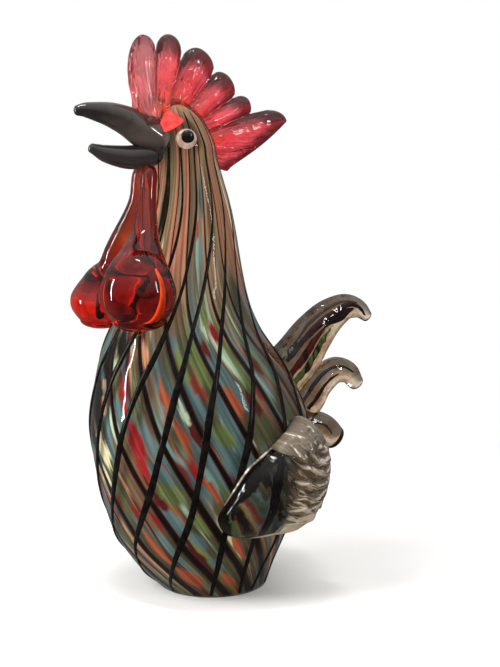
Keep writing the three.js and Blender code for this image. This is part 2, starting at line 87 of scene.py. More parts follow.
def section(height):
    """Middle along Y and half sizes along X and Y of the body at a height."""
    side = min(height, cheek_height)
    radius, middle = smooth(body, RADIUS, side), smooth(body, MIDDLE, side)
    if height > cheek_height:
        climb = min((height - cheek_height) / (crown_height - cheek_height), 1)
        radius *= math.sqrt(max(1 - climb**crown_curve, 0))
        middle += (crown_middle - body[-1][MIDDLE]) * climb
    narrow = 1 - (1 - head_narrowing) * eased(narrow_from, cheek_height, height)
    return middle, radius * narrow, radius


def on_body(height, turn, lift=0.0):
    """Point on the clear casing at a height and a turn from +X towards +Y, and lifted off it."""
    middle, wide, deep = section(height)
    angle = math.radians(turn)
    y = middle + math.sin(angle) * (deep + lift)
    return Vector((math.cos(angle) * (wide + lift), y, height))


def placed(name, data):
    """A new object of its own in the scene, for a mesh, lamp or camera."""
    made = bpy.data.objects.new(name, data)
    bpy.context.collection.objects.link(made)
    return made


def mesh_piece(name, points, faces, material):
    """A smooth mesh piece from points in millimetres about the foot's middle, its faces out."""
    at = np.array([tuple(p) for p in points])
    at[:, 1] += foot_ahead
    faces = [tuple(f) for f in faces]
    triangles = np.array([(f[0], f[i], f[i + 1]) for f in faces for i in range(1, len(f) - 1)])
    a, b, c = at[triangles[:, 0]], at[triangles[:, 1]], at[triangles[:, 2]]
    if np.einsum("ij,ij->i", a, np.cross(b, c)).sum() < 0:
        faces = [f[::-1] for f in faces]
    mesh = bpy.data.meshes.new(name)
    mesh.from_pydata((at / 1000).tolist(), [], faces)
    mesh.shade_smooth()
    mesh.materials.append(material)
    return placed(name, mesh)


def lofted(name, rings, start, end, material):
    """A closed piece through rings of points, shut by a point at each end."""
    count, points = len(rings[0]), [p for ring in rings for p in ring] + [start, end]
    last = (len(rings) - 1) * count
    faces = []
    for i in range(count):
        j = (i + 1) % count
        faces += [(k + i, k + j, k + count + j, k + count + i) for k in range(0, last, count)]
        faces += [(len(points) - 2, j, i), (len(points) - 1, last + i, last + j)]
    return mesh_piece(name, points, faces, material)


def give(piece, name, values):
    """Gives each point of a piece a number, vector or colour, for its material or nodes to read."""
    values = np.array(values, dtype=float)
    width = values.shape[1] if values.ndim > 1 else 1
    kinds = {1: ("FLOAT", "value"), 3: ("FLOAT_VECTOR", "vector"), 4: ("FLOAT_COLOR", "color")}
    kind, field = kinds[width]
    piece.data.attributes.new(name, kind, "POINT").data.foreach_set(field, values.ravel())


def paint(code):
    """Linear colour of an sRGB hex code."""
    parts = [int(code[i : i + 2], 16) / 255 for i in (1, 3, 5)]
    return [c / 12.92 if c < 0.04045 else ((c + 0.055) / 1.055) ** 2.4 for c in parts] + [1]


def feed(node, inputs):
    """Sets a node's own inputs to values, or links them where a socket is given."""
    for key, value in inputs.items():
        if isinstance(value, bpy.types.NodeSocket):
            node.id_data.links.new(value, node.inputs[key])
        else:
            node.inputs[key].default_value = value


def add(tree, kind, inputs=None, **settings):
    """Adds a node: settings are its properties, and inputs are values or sockets to link."""
    made = tree.nodes.new(kind)
    for key, value in settings.items():
        setattr(made, key, value)
    feed(made, inputs or {})
    return made


def new_material(name):
    """A new material, its tree and its shader, which the functions for patterns then work in."""
    material = bpy.data.materials.new(name)
    material.use_nodes = True
    tree = material.node_tree
    return material, tree, tree.nodes["Principled BSDF"]


# Soda-lime gather rolled in opaque coloured frit. The frit melted flat, so colours meet in sharp
# but brushed edges, drawn out along the threads, with hair-fine lines in every colour. Glass has
# no sheen of its own where it is cased, so this surface shows colour and no gloss.
frit = {
    "teal": ("#3b4f50", "#5b7274"),
    "pale_teal": ("#67827f", "#8aa29a"),
    "olive": ("#3a3b2c", "#55523a"),
    "green": ("#46512f", "#6c7848"),
    "mint": ("#90a48b", "#bcc7aa"),
    "cream": ("#b9af8c", "#dcd3ae"),
    "orange": ("#7c3a28", "#a15538"),
    "brick": ("#602520", "#80372a"),
    "red": ("#761c1d", "#952927"),
    "wine": ("#3d1716", "#5a211e"),
    "peach": ("#99664c", "#bd8e6c"),
    "brown": ("#503c2e", "#6f5843"),
    "fawn": ("#84654d", "#b38c6c"),
    "rose": ("#8b5240", "#b97f65"),
    "khaki": ("#63543f", "#8c785b"),
    "black": ("#0c0a08", "#1c1611"),
}
gather_glass, tree, shader = new_material("cased_opaque_frit_glass")
drawn = add(tree, "ShaderNodeAttribute", attribute_name="drawn").outputs["Vector"]
patches_per_metre = 500  # of noise at scale 1, whose bright patches are half a unit wide


def drawn_noise(wide, long, shift, detail):
    """Noise drawn out along the glass: width and length of its patches in millimetres."""
    across, lengthwise = patches_per_metre / wide, patches_per_metre / long
    place = {"Vector": drawn, "Location": (shift, shift, shift), "Scale": (across, across, lengthwise)}
    place = add(tree, "ShaderNodeMapping", place).outputs[0]
    patches = {"Vector": place, "Scale": 1, "Detail": detail, "Distortion": 0.3}
    return add(tree, "ShaderNodeTexNoise", patches).outputs["Fac"]


def laid_over(below, pattern, low, high, above):
    """Colour with another laid over it, softly, where a pattern passes from one value to another."""
    share = {"Value": pattern, "From Min": low, "From Max": high}
    share = add(tree, "ShaderNodeMapRange", share, interpolation_type="SMOOTHSTEP").outputs[0]
    return add(tree, "ShaderNodeMix", {0: share, 6: below, 7: above}, data_type="RGBA").outputs[2]


hairs = drawn_noise(1.3, 26, 5.0, 2)
brushed = drawn_noise(2.6, 18, 9.0, 3)
hair_from, hair_full = 0.33, 0.68
shades = {}
for name, (dark, pale) in frit.items():
    shades[name] = laid_over(paint(dark), hairs, hair_from, hair_full, paint(pale))
colour = shades["teal"]
brush_share, edge_from, edge_full = 0.26, 0.1, 0.19  # how ragged a patch's edge is, and how soft
layers = [  # colour, width, length, shift, and how much noise it takes to show
    ("pale_teal", 10, 40, 1.7, 0.57), ("olive", 9, 44, 3.1, 0.45), ("brown", 7, 40, 31.1, 0.56),
    ("green", 7, 34, 7.7, 0.55), ("mint", 4, 22, 41.9, 0.65), ("peach", 3, 26, 11.3, 0.64),
    ("orange", 3, 24, 15.9, 0.64), ("brick", 3, 24, 21.7, 0.62), ("cream", 2.5, 16, 48.1, 0.69),
    ("wine", 3, 22, 27.3, 0.61), ("teal", 7, 26, 61.3, 0.57), ("olive", 4, 20, 71.9, 0.6),
]
for name, wide, long, shift, limit in layers:
    shape = {0: brushed, 1: brush_share, 2: drawn_noise(wide, long, shift, 1.5)}
    shape = add(tree, "ShaderNodeMath", shape, operation="MULTIPLY_ADD").outputs[0]
    colour = laid_over(colour, shape, limit + edge_from, limit + edge_full, shades[name])

neck_from, neck_full, stripe_edge = 0.13, 0.185, 0.06  # heights in metres, then noise
height = add(tree, "ShaderNodeTexCoord").outputs["Object"]
height = add(tree, "ShaderNodeSeparateXYZ", {0: height}).outputs[2]
neck_stripes = [  # as the layers, and drawn out so far that they run on as stripes
    ("fawn", 14, 240, 17.3, 0.42), ("khaki", 13, 220, 6.1, 0.5), ("rose", 11, 200, 2.9, 0.54),
    ("pale_teal", 9, 160, 9.7, 0.63), ("wine", 7, 180, 13.3, 0.63),
]
stripes = shades["brown"]
for name, wide, long, shift, limit in neck_stripes:
    stripe = drawn_noise(wide, long, shift, 1)
    stripes = laid_over(stripes, stripe, limit, limit + stripe_edge, shades[name])
colour = laid_over(colour, height, neck_from, neck_full, stripes)

chip_from, chip_full = 1.6, 2.06
chip_and_light = add(tree, "ShaderNodeAttribute", attribute_name="chip_and_light").outputs["Fac"]
for frayed, depth in ((brushed, 2), (hairs, 1.4)):
    frayed = {0: frayed, 1: depth, 2: chip_and_light}
    chip_and_light = add(tree, "ShaderNodeMath", frayed, operation="MULTIPLY_ADD").outputs[0]
dark, pale = [
    add(tree, "ShaderNodeAttribute", attribute_name=f"chip_{end}").outputs["Color"]
    for end in ("dark", "pale")
]
chip_and_light_colour = laid_over(dark, hairs, hair_from, hair_full, pale)
colour = laid_over(colour, chip_and_light, chip_from, chip_full, chip_and_light_colour)

thread_rims = [(0.5, 1.35, "#3a1d18"), (0.15, 0.42, "#0f0c0a")]  # full, gone, in half widths; colour
thread = add(tree, "ShaderNodeAttribute", attribute_name="thread").outputs["Fac"]
ragged = {0: brushed, 1: -1.5, 2: thread}
ragged = add(tree, "ShaderNodeMath", ragged, operation="MULTIPLY_ADD").outputs[0]
for full, gone, code in thread_rims:
    colour = laid_over(colour, ragged, gone, full, paint(code))
feed(shader, {"Base Color": colour, "Roughness": 0.7, "Specular IOR Level": 0})

chips_and_painted_light = [  # the largest patches: colour, turn from the threads' zero, height, and half their size
    # Painted reflection: the black patches on the front of the breast stand for thick clear glass that
    # shows dark. The small mint, peach and fawn patches among them are painted glints.
    ("black", -64, 129, 8, 9), ("black", -79, 118, 10, 16), ("black", -94, 100, 11, 17),
    ("black", -108, 82, 7, 10), ("mint", -73, 119, 3.5, 8), ("peach", -85, 99, 2.5, 6),
    ("fawn", -84, 110, 2, 7), ("red", -65, 107, 4.5, 13), ("red", -62, 86, 5.5, 11),
    ("red", -67, 73, 2.5, 8), ("peach", -46, 128, 6, 12), ("orange", -35, 108, 4.5, 13),
    ("orange", -33, 91, 4, 11), ("wine", -26, 91, 3.5, 8), ("brick", -13, 113, 3, 11),
    ("mint", -27, 101, 2.5, 8), ("green", -5, 122, 6, 12), ("green", -17, 122, 4, 9),
    ("teal", -19, 104, 7, 12), ("green", -12, 90, 5, 11), ("teal", -14, 77, 9, 12),
    ("teal", -25, 73, 7, 10), ("pale_teal", -31, 70, 2.5, 7), ("orange", -34, 62, 2.5, 8),
    ("orange", 4, 106, 3.5, 10), ("brick", 25, 108, 4, 10), ("wine", 15, 101, 4, 9),
    ("olive", 13, 90, 12, 15), ("olive", 38, 99, 12, 16), ("olive", 25, 126, 4, 12),
    ("olive", 50, 120, 9, 14), ("wine", 36, 121, 5, 11), ("brick", 62, 106, 4, 12),
    ("olive", 70, 90, 12, 14), ("cream", -95, 77, 6, 11), ("cream", -107, 64, 6, 9),
    ("mint", -76, 92, 4, 10), ("brick", -104, 53, 4, 8), ("brick", -92, 50, 3.5, 9),
    ("olive", -122, 34, 9, 10), ("red", -80, 47, 3.5, 9), ("wine", -69, 56, 3.5, 7),
    ("brick", -45, 73, 5, 12), ("red", -38, 73, 3.5, 9), ("green", -59, 61, 6, 10),
    ("teal", -69, 47, 6, 9), ("green", -54, 45, 7, 9), ("teal", -60, 37, 6, 7),
    ("orange", -96, 31, 5, 8), ("wine", -71, 27, 6, 6), ("teal", -61, 23, 5, 5),
    ("orange", -92, 14, 9, 6), ("orange", -63, 11, 7, 6), ("olive", -37, 52, 6, 8),
    ("orange", -38, 32, 6, 7), ("olive", -22, 17, 9, 9), ("khaki", -18, 206, 9, 28),
    ("brown", -14, 147, 8, 14), ("teal", 22, 201, 6, 15), ("pale_teal", 17, 175, 8, 20),
    ("orange", 14, 184, 3.5, 9), ("rose", 55, 198, 8, 26), ("brown", 38, 192, 6, 26),
    ("red", 17, 137, 4, 9), ("green", 13, 146, 5, 9), ("wine", 4, 130, 4, 9),
    ("mint", 9, 139, 2.5, 9), ("cream", 90, 194, 5, 26), ("olive", 60, 150, 9, 18),
    # Painted light on the front of the neck: the long black patch is a painted dark reflection of clear
    # glass, and the two thin cream patches are painted highlights.
    ("peach", -80, 193, 12, 22), ("black", -50, 198, 8, 27), ("cream", -43, 201, 1.6, 7),
    ("cream", -39, 177, 1.6, 7), ("khaki", 32, 150, 6, 14), ("brick", -60, 236, 22, 9),
    ("brown", 20, 232, 30, 9),
]
thread_turns = [-107, -75, -47, -23, 0, 26, 50, 85, 113, 141, 169, 197, 225]  # round the gather
thread_widths = [  # height, width
    (0, 3.2), (40, 3), (80, 2.2), (112, 1.9), (140, 1.3), (160, 0.6), (195, 0.35), (226, 0.3),
]
columns_per_thread, gather_rings, gather_foot = 12, 160, 0.3
side_rings, dome_share = 0.88, 0.121  # the dome's last ring stays a little open
foot_wall, neck_wall, crown_wall, set_back = 4.5, 3.6, 4, 0.4  # of the clear glass round it
wall_from, wall_full = 80, 195
pattern_radius, stretch = 0.05, 1.2  # in metres, and how much longer streaks get as it thins
thread_span = 51  # radius at which the threads have the widths above
turns, to_thread = [], []
for i, turn in enumerate(thread_turns):
    gap = (thread_turns + [thread_turns[0] + 360])[i + 1] - turn
    for step in range(columns_per_thread):
        share = step / columns_per_thread
        turns.append(turn + gap * share)
        to_thread.append(gap * min(share, 1 - share))
rings, drawn_at, thread_at, place_at = [], [], [], []
length, last_height = 0, 0
for i in range(gather_rings + 1):
    climb = 0
    height = gather_foot + (cheek_height - gather_foot) * min(i / (gather_rings * side_rings), 1)
    if i > gather_rings * side_rings:
        climb = math.sin((i / gather_rings - side_rings) / dome_share * math.pi / 2)
    middle, wide, _ = section(height)
    rise = eased(wall_from, wall_full, height)
    reach = wide - foot_wall - (neck_wall - foot_wall) * rise
    middle += set_back * rise
    thinned = reach / (widest - foot_wall)
    reach *= math.sqrt(1 - climb**crown_curve)
    middle += (crown_middle - middle) * climb
    height += (crown_height - crown_wall - cheek_height) * climb
    length, last_height = length + thinned**stretch * (height - last_height), height
    at_side = min(height, cheek_height)
    twist, half_thread = smooth(body, THREAD_TURN, at_side), smooth(thread_widths, 1, at_side) / 2
    ring = []
    for turn, off in zip(turns, to_thread):
        angle, around = math.radians(turn + twist), math.radians(turn)
        ring.append(Vector((math.cos(angle) * reach, middle + math.sin(angle) * reach, height)))
        beside = (math.cos(around) * pattern_radius, math.sin(around) * pattern_radius)
        drawn_at.append((*beside, length / 1000))
        thread_at.append(math.radians(off) * thread_span * thinned / half_thread)
        place_at.append((turn, height))
    rings.append(ring)
ends = [Vector((0, 0, gather_foot)), Vector((0, crown_middle, crown_height - crown_wall))]
gather = lofted("colour_gather", rings, *ends, gather_glass)
drawn_at += [(0, 0, 0), (0, 0, length / 1000)]
place_at = np.array(place_at + [(180, 0), (180, crown_height)])
cover = []
for _, turn, at, half_turn, half_height in chips_and_painted_light:
    aside = (place_at[:, 0] - turn + 180) % 360 - 180
    beside, above = abs(aside / half_turn), abs((place_at[:, 1] - at) / half_height)
    cover.append(1 - (beside**1.6 + above**1.15) ** 0.8)  # round across, and pointed along
cover = np.array(cover)
nearest = cover.argmax(axis=0)
chip_and_light_shades = np.array([[paint(code) for code in frit[chip_and_light[0]]] for chip_and_light in chips_and_painted_light])[nearest]
give(gather, "drawn", drawn_at)
give(gather, "thread", thread_at + [0, 0])
give(gather, "chip_and_light", cover.max(axis=0).clip(-1))
give(gather, "chip_dark", chip_and_light_shades[:, 0])
give(gather, "chip_pale", chip_and_light_shades[:, 1])
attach(gather, "root")
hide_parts("body_core")

# Brow diamonds: two flat diamonds of red under the clear brow, between the beak and the eye.
# They are a painted refraction: the comb's red glass as the clear brow bends it into view.
def mirrored(points, mirror):
    """Points of a piece on the left, or the same on the right where mirror is -1."""
    return [Vector((p.x * mirror, p.y, p.z)) for p in points]


def cloudy(dark, pale, width, low, high, detail=2, distortion=0):
    """Colour that wanders from dark to pale in clouds so many millimetres wide."""
    place = add(tree, "ShaderNodeTexCoord").outputs["Object"]
    cloud = {"Vector": place, "Scale": 1000 / width, "Detail": detail, "Distortion": distortion}
    cloud = add(tree, "ShaderNodeTexNoise", cloud).outputs["Fac"]
    return laid_over(paint(dark), cloud, low, high, paint(pale))


# Painted refraction: a plain bright red with faint clouds, for the comb's red seen through the
# clear brow. It lies inside clear glass, so it has almost no gloss of its own.
red_refraction_glass, tree, shader = new_material("painted_red_refraction")
red = cloudy("#e02f34", "#f4544f", 2.857, 0.3, 0.7)
feed(shader, {"Base Color": red, "Roughness": 0.5, "Specular IOR Level": 0.1})
diamond_turn, diamond_height, diamond_half_width, diamond_half_height = -52, 238.5, 10.5, 5.8
diamond_depth, diamond_back, diamond_steps, diamond_sides = 1.2, 2, 14, 48
diamond_squareness, head_radius = 1.15, 12  # 1 is a diamond with straight sides, and 2 is round
for side_name, mirror in (("left", 1), ("right", -1)):
    rings = []
    for k in range(1, diamond_steps + 1):
        ring = []
        for j in range(diamond_sides):
            angle = j / diamond_sides * 2 * math.pi
            aside, up = math.cos(angle), math.sin(angle)
            corner = (abs(aside) ** diamond_squareness + abs(up) ** diamond_squareness) ** (1 / diamond_squareness)
            out = k / diamond_steps / corner
            turn = diamond_turn + math.degrees(aside * out * diamond_half_width / head_radius)
            depth = diamond_depth if k < diamond_steps else diamond_back
            ring.append(on_body(diamond_height + up * out * diamond_half_height, turn, -depth))
        rings.append(mirrored(ring, mirror))
    ends = [on_body(diamond_height, diamond_turn, -depth) for depth in (diamond_depth, diamond_back)]
    red_diamond = lofted(f"{side_name}_brow_red_refraction", rings, *mirrored(ends, mirror), red_refraction_glass)
    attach(red_diamond, "root")

# Clear casing: the last gather of colourless soda-lime glass over the colours, shaped with wet
# tools. It runs from the ground foot to the crown, and fits the gather without a gap.
def uneven(width, depth):
    """Links a gentle waviness to the surface: how far apart its swells are, and how deep, in mm."""
    place = add(tree, "ShaderNodeTexCoord").outputs["Object"]
    swell = add(tree, "ShaderNodeTexNoise", {"Vector": place, "Scale": 1000 / width, "Detail": 1.5})
    bump = {"Height": swell.outputs["Fac"], "Strength": 1, "Distance": depth / 1000}
    feed(shader, {"Normal": add(tree, "ShaderNodeBump", bump).outputs[0]})


# Colourless glass, fire polished: it shows the colours under it sharply, between dark rims, and
# lamps as thin bright lines that the swells of the tooling break up. Its tint is very faint. The
# tint of its highlights is low, so that it doesn't veil the colours.
clear_glass, tree, shader = new_material("clear_fire_polished_glass")
feed(shader, {
    "Base Color": cloudy("#f9f8f3", "#f1f2e9", 33.333, 0.4, 0.65, detail=1),
    "Transmission Weight": 1, "Roughness": 0.01, "IOR": 1.45, "Specular Tint": (0.3, 0.3, 0.3, 1),
})
uneven(14, 0.5)
casing_columns, casing_rings, dome_rings = 128, 110, 24
rings = []
for i in range(casing_rings + dome_rings):
    height = cheek_height * min(i / casing_rings, 1)
    if i > casing_rings:
        climb = math.sin((i - casing_rings) / dome_rings * math.pi / 2)
        height += (crown_height - cheek_height) * climb
    rings.append([on_body(height, 360 * k / casing_columns) for k in range(casing_columns)])
ends = [Vector((0, 0, 0)), Vector((0, crown_middle, crown_height))]
casing = lofted("clear_casing", rings, *ends, clear_glass)
casing.visible_shadow = casing.visible_diffuse = False  # light passes through to the colours
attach(casing, "root")
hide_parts("body_casing")

# Black canes: sixteen rods of opaque black glass, picked up on the clear casing and melted half
# into it, then twisted to the bird's right as the body was drawn. They run from foot to crown,
# a little uneven as a hand lays them.

# Opaque black glass, fire polished: a deep warm black, with a narrow soft gloss.
black_glass, tree, shader = new_material("opaque_black_cane_glass")
black = cloudy("#080706", "#15110e", 3.846, 0.35, 0.7)
feed(shader, {"Base Color": black, "Roughness": 0.15, "Specular IOR Level": 0.1})
cane_count, cane_steps, cane_sides, cane_low, cane_high = 16, 110, 14, 1.5, 243
cane_half_width, cane_half_height, thinnest_cane = 1.8, 0.75, 0.12
short_within = 75  # canes this near the beak, in degrees, end at the cheek and leave the brow clear
foot_wander = [-50, -37, -20, -1, 7, 0, 0, 0, 0, -4, -10, -18, -26, -34, -42, -50]  # turn at the foot
wander_height = 35
sway, sway_length, sway_shift = 1.1, 17, 2.3  # degrees, then millimetres, then from cane to cane
swell, swell_length, swell_shift = 0.12, 9, 1.7
points, edges, outward, girth = [], [], [], []
for k in range(cane_count):
    first_turn = k * 360 / cane_count
    from_beak = abs((first_turn + 90 + 180) % 360 - 180)
    top = cheek_height if from_beak < short_within else cane_high
    for i in range(cane_steps + 1):
        height = cane_low + (top - cane_low) * i / cane_steps
        turn = first_turn + smooth(body, CANE_TURN, min(height, cheek_height))
        turn += foot_wander[k] * max(1 - height / (wander_height + abs(foot_wander[k])), 0) ** 2
        turn += sway * math.sin(height / sway_length + k * sway_shift)
        at = on_body(height, turn)
        points.append((at.x / 1000, (at.y + foot_ahead) / 1000, at.z / 1000))
        outward.append((math.cos(math.radians(turn)), math.sin(math.radians(turn)), 0))
        full = max(section(height)[1] / widest, thinnest_cane)
        girth.append(full * (1 + swell * math.sin(height / swell_length + k * swell_shift)))
        if i:
            edges.append((len(points) - 2, len(points) - 1))
lines = bpy.data.meshes.new("cane_paths")
lines.from_pydata(points, edges, [])
paths = placed("cane_paths", lines)
give(paths, "outward", outward)
give(paths, "girth", girth)

rods = bpy.data.node_groups.new("cane_rods", "GeometryNodeTree")
rods.interface.new_socket("Geometry", in_out="INPUT", socket_type="NodeSocketGeometry")
sizes = {}
for label, kind, value in (
    ("Half Width", "Float", cane_half_width / 1000),
    ("Half Height", "Float", cane_half_height / 1000),
    ("Sides", "Int", cane_sides),
):
    socket = rods.interface.new_socket(label, in_out="INPUT", socket_type=f"NodeSocket{kind}")
    sizes[socket.identifier] = value
rods.interface.new_socket("Geometry", in_out="OUTPUT", socket_type="NodeSocketGeometry")
given = add(rods, "NodeGroupInput").outputs
outward = {"Name": "outward"}
away = add(rods, "GeometryNodeInputNamedAttribute", outward, data_type="FLOAT_VECTOR").outputs[0]
girth = {"Name": "girth"}
thick = add(rods, "GeometryNodeInputNamedAttribute", girth, data_type="FLOAT").outputs[0]
path = add(rods, "GeometryNodeMeshToCurve", {"Mesh": given["Geometry"]}).outputs[0]
path = add(rods, "GeometryNodeSetCurveNormal", {"Curve": path, "Normal": away}, mode="FREE").outputs[0]
lens = {"Resolution": given["Sides"], "Radius": 1}
lens = add(rods, "GeometryNodeCurvePrimitiveCircle", lens).outputs[0]
spread = {0: given["Half Height"], 1: given["Half Width"], 2: 1}
spread = add(rods, "ShaderNodeCombineXYZ", spread).outputs[0]
lens = add(rods, "GeometryNodeTransform", {"Geometry": lens, "Scale": spread}).outputs[0]
rod = {"Curve": path, "Profile Curve": lens, "Scale": thick, "Fill Caps": True}
rod = add(rods, "GeometryNodeCurveToMesh", rod).outputs[0]
rod = add(rods, "GeometryNodeRealizeInstances", {"Geometry": rod}).outputs[0]
rod = add(rods, "GeometryNodeSetMaterial", {"Geometry": rod, "Material": black_glass}).outputs[0]
add(rods, "NodeGroupOutput", {0: rod})
draw = paths.modifiers.new("cane_rods", "NODES")
draw.node_group = rods
for identifier, value in sizes.items():
    draw[identifier] = value
mesh = bpy.data.meshes.new_from_object(paths.evaluated_get(bpy.context.evaluated_depsgraph_get()))
mesh.shade_smooth()
bpy.data.objects.remove(paths)
canes = placed("black_canes", mesh)
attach(canes, "root")
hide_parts(*[f"cane_{k + 1:02d}" for k in range(cane_count)])

# Beak: two horns of grey-brown glass drawn out of the head with tweezers while soft, the lower
# one shorter, with the mouth open between them.

# Smoky brown glass, drawn: cloudy grey-brown at the head, partly a painted sheen, and nearly black
# at the tips, where it is pulled thin, and darker below the mouth. Its polished skin reflects more
# than the canes'.
horn_glass, tree, shader = new_material("drawn_smoke_brown_glass")
along = add(tree, "ShaderNodeAttribute", attribute_name="along").outputs["Fac"]
place = add(tree, "ShaderNodeTexCoord").outputs["Object"]
smoke = {"Vector": place, "Scale": 1000 / 11.111, "Detail": 2, "Distortion": 1.2}
smoke = add(tree, "ShaderNodeTexNoise", smoke).outputs["Fac"]
along = {0: smoke, 1: 0.5, 2: along}
along = add(tree, "ShaderNodeMath", along, operation="MULTIPLY_ADD").outputs[0]
# The paler grey-brown towards the head is partly a painted sheen.
horn = laid_over(paint("#493e39"), along, 0.3, 0.95, paint("#1e1816"))
height = add(tree, "ShaderNodeSeparateXYZ", {0: place}).outputs[2]
mouth = cheek_height / 1000
horn = laid_over(paint("#2a2422"), height, mouth - 0.001, mouth + 0.004, horn)
feed(shader, {"Base Color": horn, "Roughness": 0.08, "Coat Weight": 0.6, "Specular IOR Level": 0.5})
beak_narrowing = 0.92  # how wide a horn is for its depth
upper_beak = [  # out from the head, up from the root, and the radius
    (-7, -2, 8.4), (4, 4.6, 8.4), (12, 9.3, 7.3), (20.5, 12.6, 6), (28, 14.2, 4.6), (33.6, 15, 3.5),
    (37, 14.8, 2.6),
]
lower_beak = [
    (-7, 1, 5.2), (4, -0.4, 5.9), (12, -0.9, 5.8), (19, 0, 5.1), (25, 1.4, 4.1), (28.5, 2.8, 3.1),
    (31, 3.8, 2.4),
]
upper_root, lower_root = cheek_height + 3, cheek_height - 4


def path_point(points, t, closed=False):
    """Point at a share of the smooth path through points."""
    count = len(points)
    reach = t * (count if closed else count - 1)
    i = min(int(reach), count - 1 if closed else count - 2)
    w = reach - i
    p1, p2 = points[i], points[(i + 1) % count]
    p0 = points[i - 1] if i or closed else 2 * p1 - p2
    p3 = points[(i + 2) % count] if i + 2 < count or closed else 2 * p2 - p1
    d0, d1, d2 = [(b - a).length ** 0.5 for a, b in ((p0, p1), (p1, p2), (p2, p3))]
    m1 = ((p1 - p0) / d0 - (p2 - p0) / (d0 + d1) + (p2 - p1) / d1) * d1
    m2 = ((p2 - p1) / d1 - (p3 - p1) / (d1 + d2) + (p3 - p2) / d2) * d1
    return p1 + w * (m1 + w * (3 * (p2 - p1) - 2 * m1 - m2 + w * (m1 + m2 + 2 * (p1 - p2))))


def seated(point, sink):
    """The point itself, or moved level with it until it is only so deep in the body."""
    if not 0 < point.z < crown_height:
        return point
    middle, wide, deep = section(point.z)
    wide, deep = max(wide - sink, 0.1), max(deep - sink, 0.1)
    off = Vector((point.x / wide, (point.y - middle) / deep))
    if off.length >= 1:
        return point
    off = off.normalized() if off.length > 0.01 else Vector((0, 1))
    return Vector((off.x * wide, middle + off.y * deep, point.z))


def limb(name, stations, side_axis, tip_length, material, sides=40, steps=80, sink=0.6):
    """A drawn limb: an oval section along a smooth path, with a rounded tip, seated on the body."""
    places, last = [s[0] for s in stations], len(stations) - 1
    wides = [(i / last, s[1]) for i, s in enumerate(stations)]
    deeps = [(i / last, s[2]) for i, s in enumerate(stations)]
    rings, shares, tip_rings, step = [], [], 10, 1e-4
    spans = [(i / steps, 0) for i in range(steps + 1)]
    spans += [(1, math.sin(k / tip_rings * math.pi / 2)) for k in range(1, tip_rings)]
    for t, climb in spans:
        ahead = path_point(places, min(t + step, 1)) - path_point(places, max(t - step, 0))
        ahead.normalize()
        centre = path_point(places, t) + ahead * tip_length * climb
        share = math.sqrt(1 - climb * climb)
        wide, deep = smooth(wides, 1, t) * share, smooth(deeps, 1, t) * share
        side = (side_axis - ahead * side_axis.dot(ahead)).normalized()
        across = ahead.cross(side)
        angles = [k * 2 * math.pi / sides for k in range(sides)]
        ring = [centre + side * math.cos(a) * wide + across * math.sin(a) * deep for a in angles]
        rings.append([seated(p, sink) for p in ring])
        shares += [t] * sides
    tip = path_point(places, 1) + ahead * tip_length
    made = lofted(name, rings, seated(places[0], sink), tip, material)
    give(made, "along", shares + [0, 1])
    return made


across_bird = Vector((1, 0, 0))
for name, root, horn, tip in (("upper", upper_root, upper_beak, 2), ("lower", lower_root, lower_beak, 1.8)):
    front = on_body(root, -90).y
    stations = [(Vector((0, front - out, root + rise)), r * beak_narrowing, r) for out, rise, r in horn]
    beak = limb(f"{name}_beak", stations, across_bird, tip, horn_glass, sink=1.5)
    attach(beak, "root")
    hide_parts(f"beak_{name}")

# Comb: a fan of clear red glass laid along the crown hot and pinched with tongs into six tongues.
# It is fused on from the brow to the back of the head.
def streaky(place, sizes, detail, distortion):
    """Noise in streaks: the size of its patches along each axis in millimetres."""
    streaks = {"Vector": place, "Scale": tuple(1000 / size for size in sizes)}
    streaks = add(tree, "ShaderNodeMapping", streaks).outputs[0]
    streaks = {"Vector": streaks, "Scale": 1, "Detail": detail, "Distortion": distortion}
    return add(tree, "ShaderNodeTexNoise", streaks).outputs["Fac"]


# Clear red glass that strikes as it is reheated: orange at the root and crimson along the tongues.
# The dark at the thin tips is painted shade, and the pale front tongue is a painted glare. The tongs
# left furrows and dents in its polish, so every tongue is bright with small sharp reflections.
comb_glass, tree, shader = new_material("clear_striking_red_glass")
rise = add(tree, "ShaderNodeAttribute", attribute_name="rise").outputs["Fac"]
fan = add(tree, "ShaderNodeAttribute", attribute_name="fan").outputs["Vector"]
furrow = streaky(fan, (2.381, 16.667, 5), 2, 0.6)
rise = add(tree, "ShaderNodeMath", {0: furrow, 1: 0.35, 2: rise}, operation="MULTIPLY_ADD").outputs[0]
ramp = add(tree, "ShaderNodeValToRGB", {"Fac": rise})
# The dark last stop is painted shade at the tips.
stops = [(0.12, "#fda458"), (0.32, "#fc7050"), (0.58, "#fb6269"), (0.86, "#f96f79"), (1.0, "#8c3037")]
for i, (at, code) in enumerate(stops):
    stop = ramp.color_ramp.elements[i] if i < 2 else ramp.color_ramp.elements.new(at)
    stop.position, stop.color = at, paint(code)
around = add(tree, "ShaderNodeSeparateXYZ", {0: fan}).outputs[0]
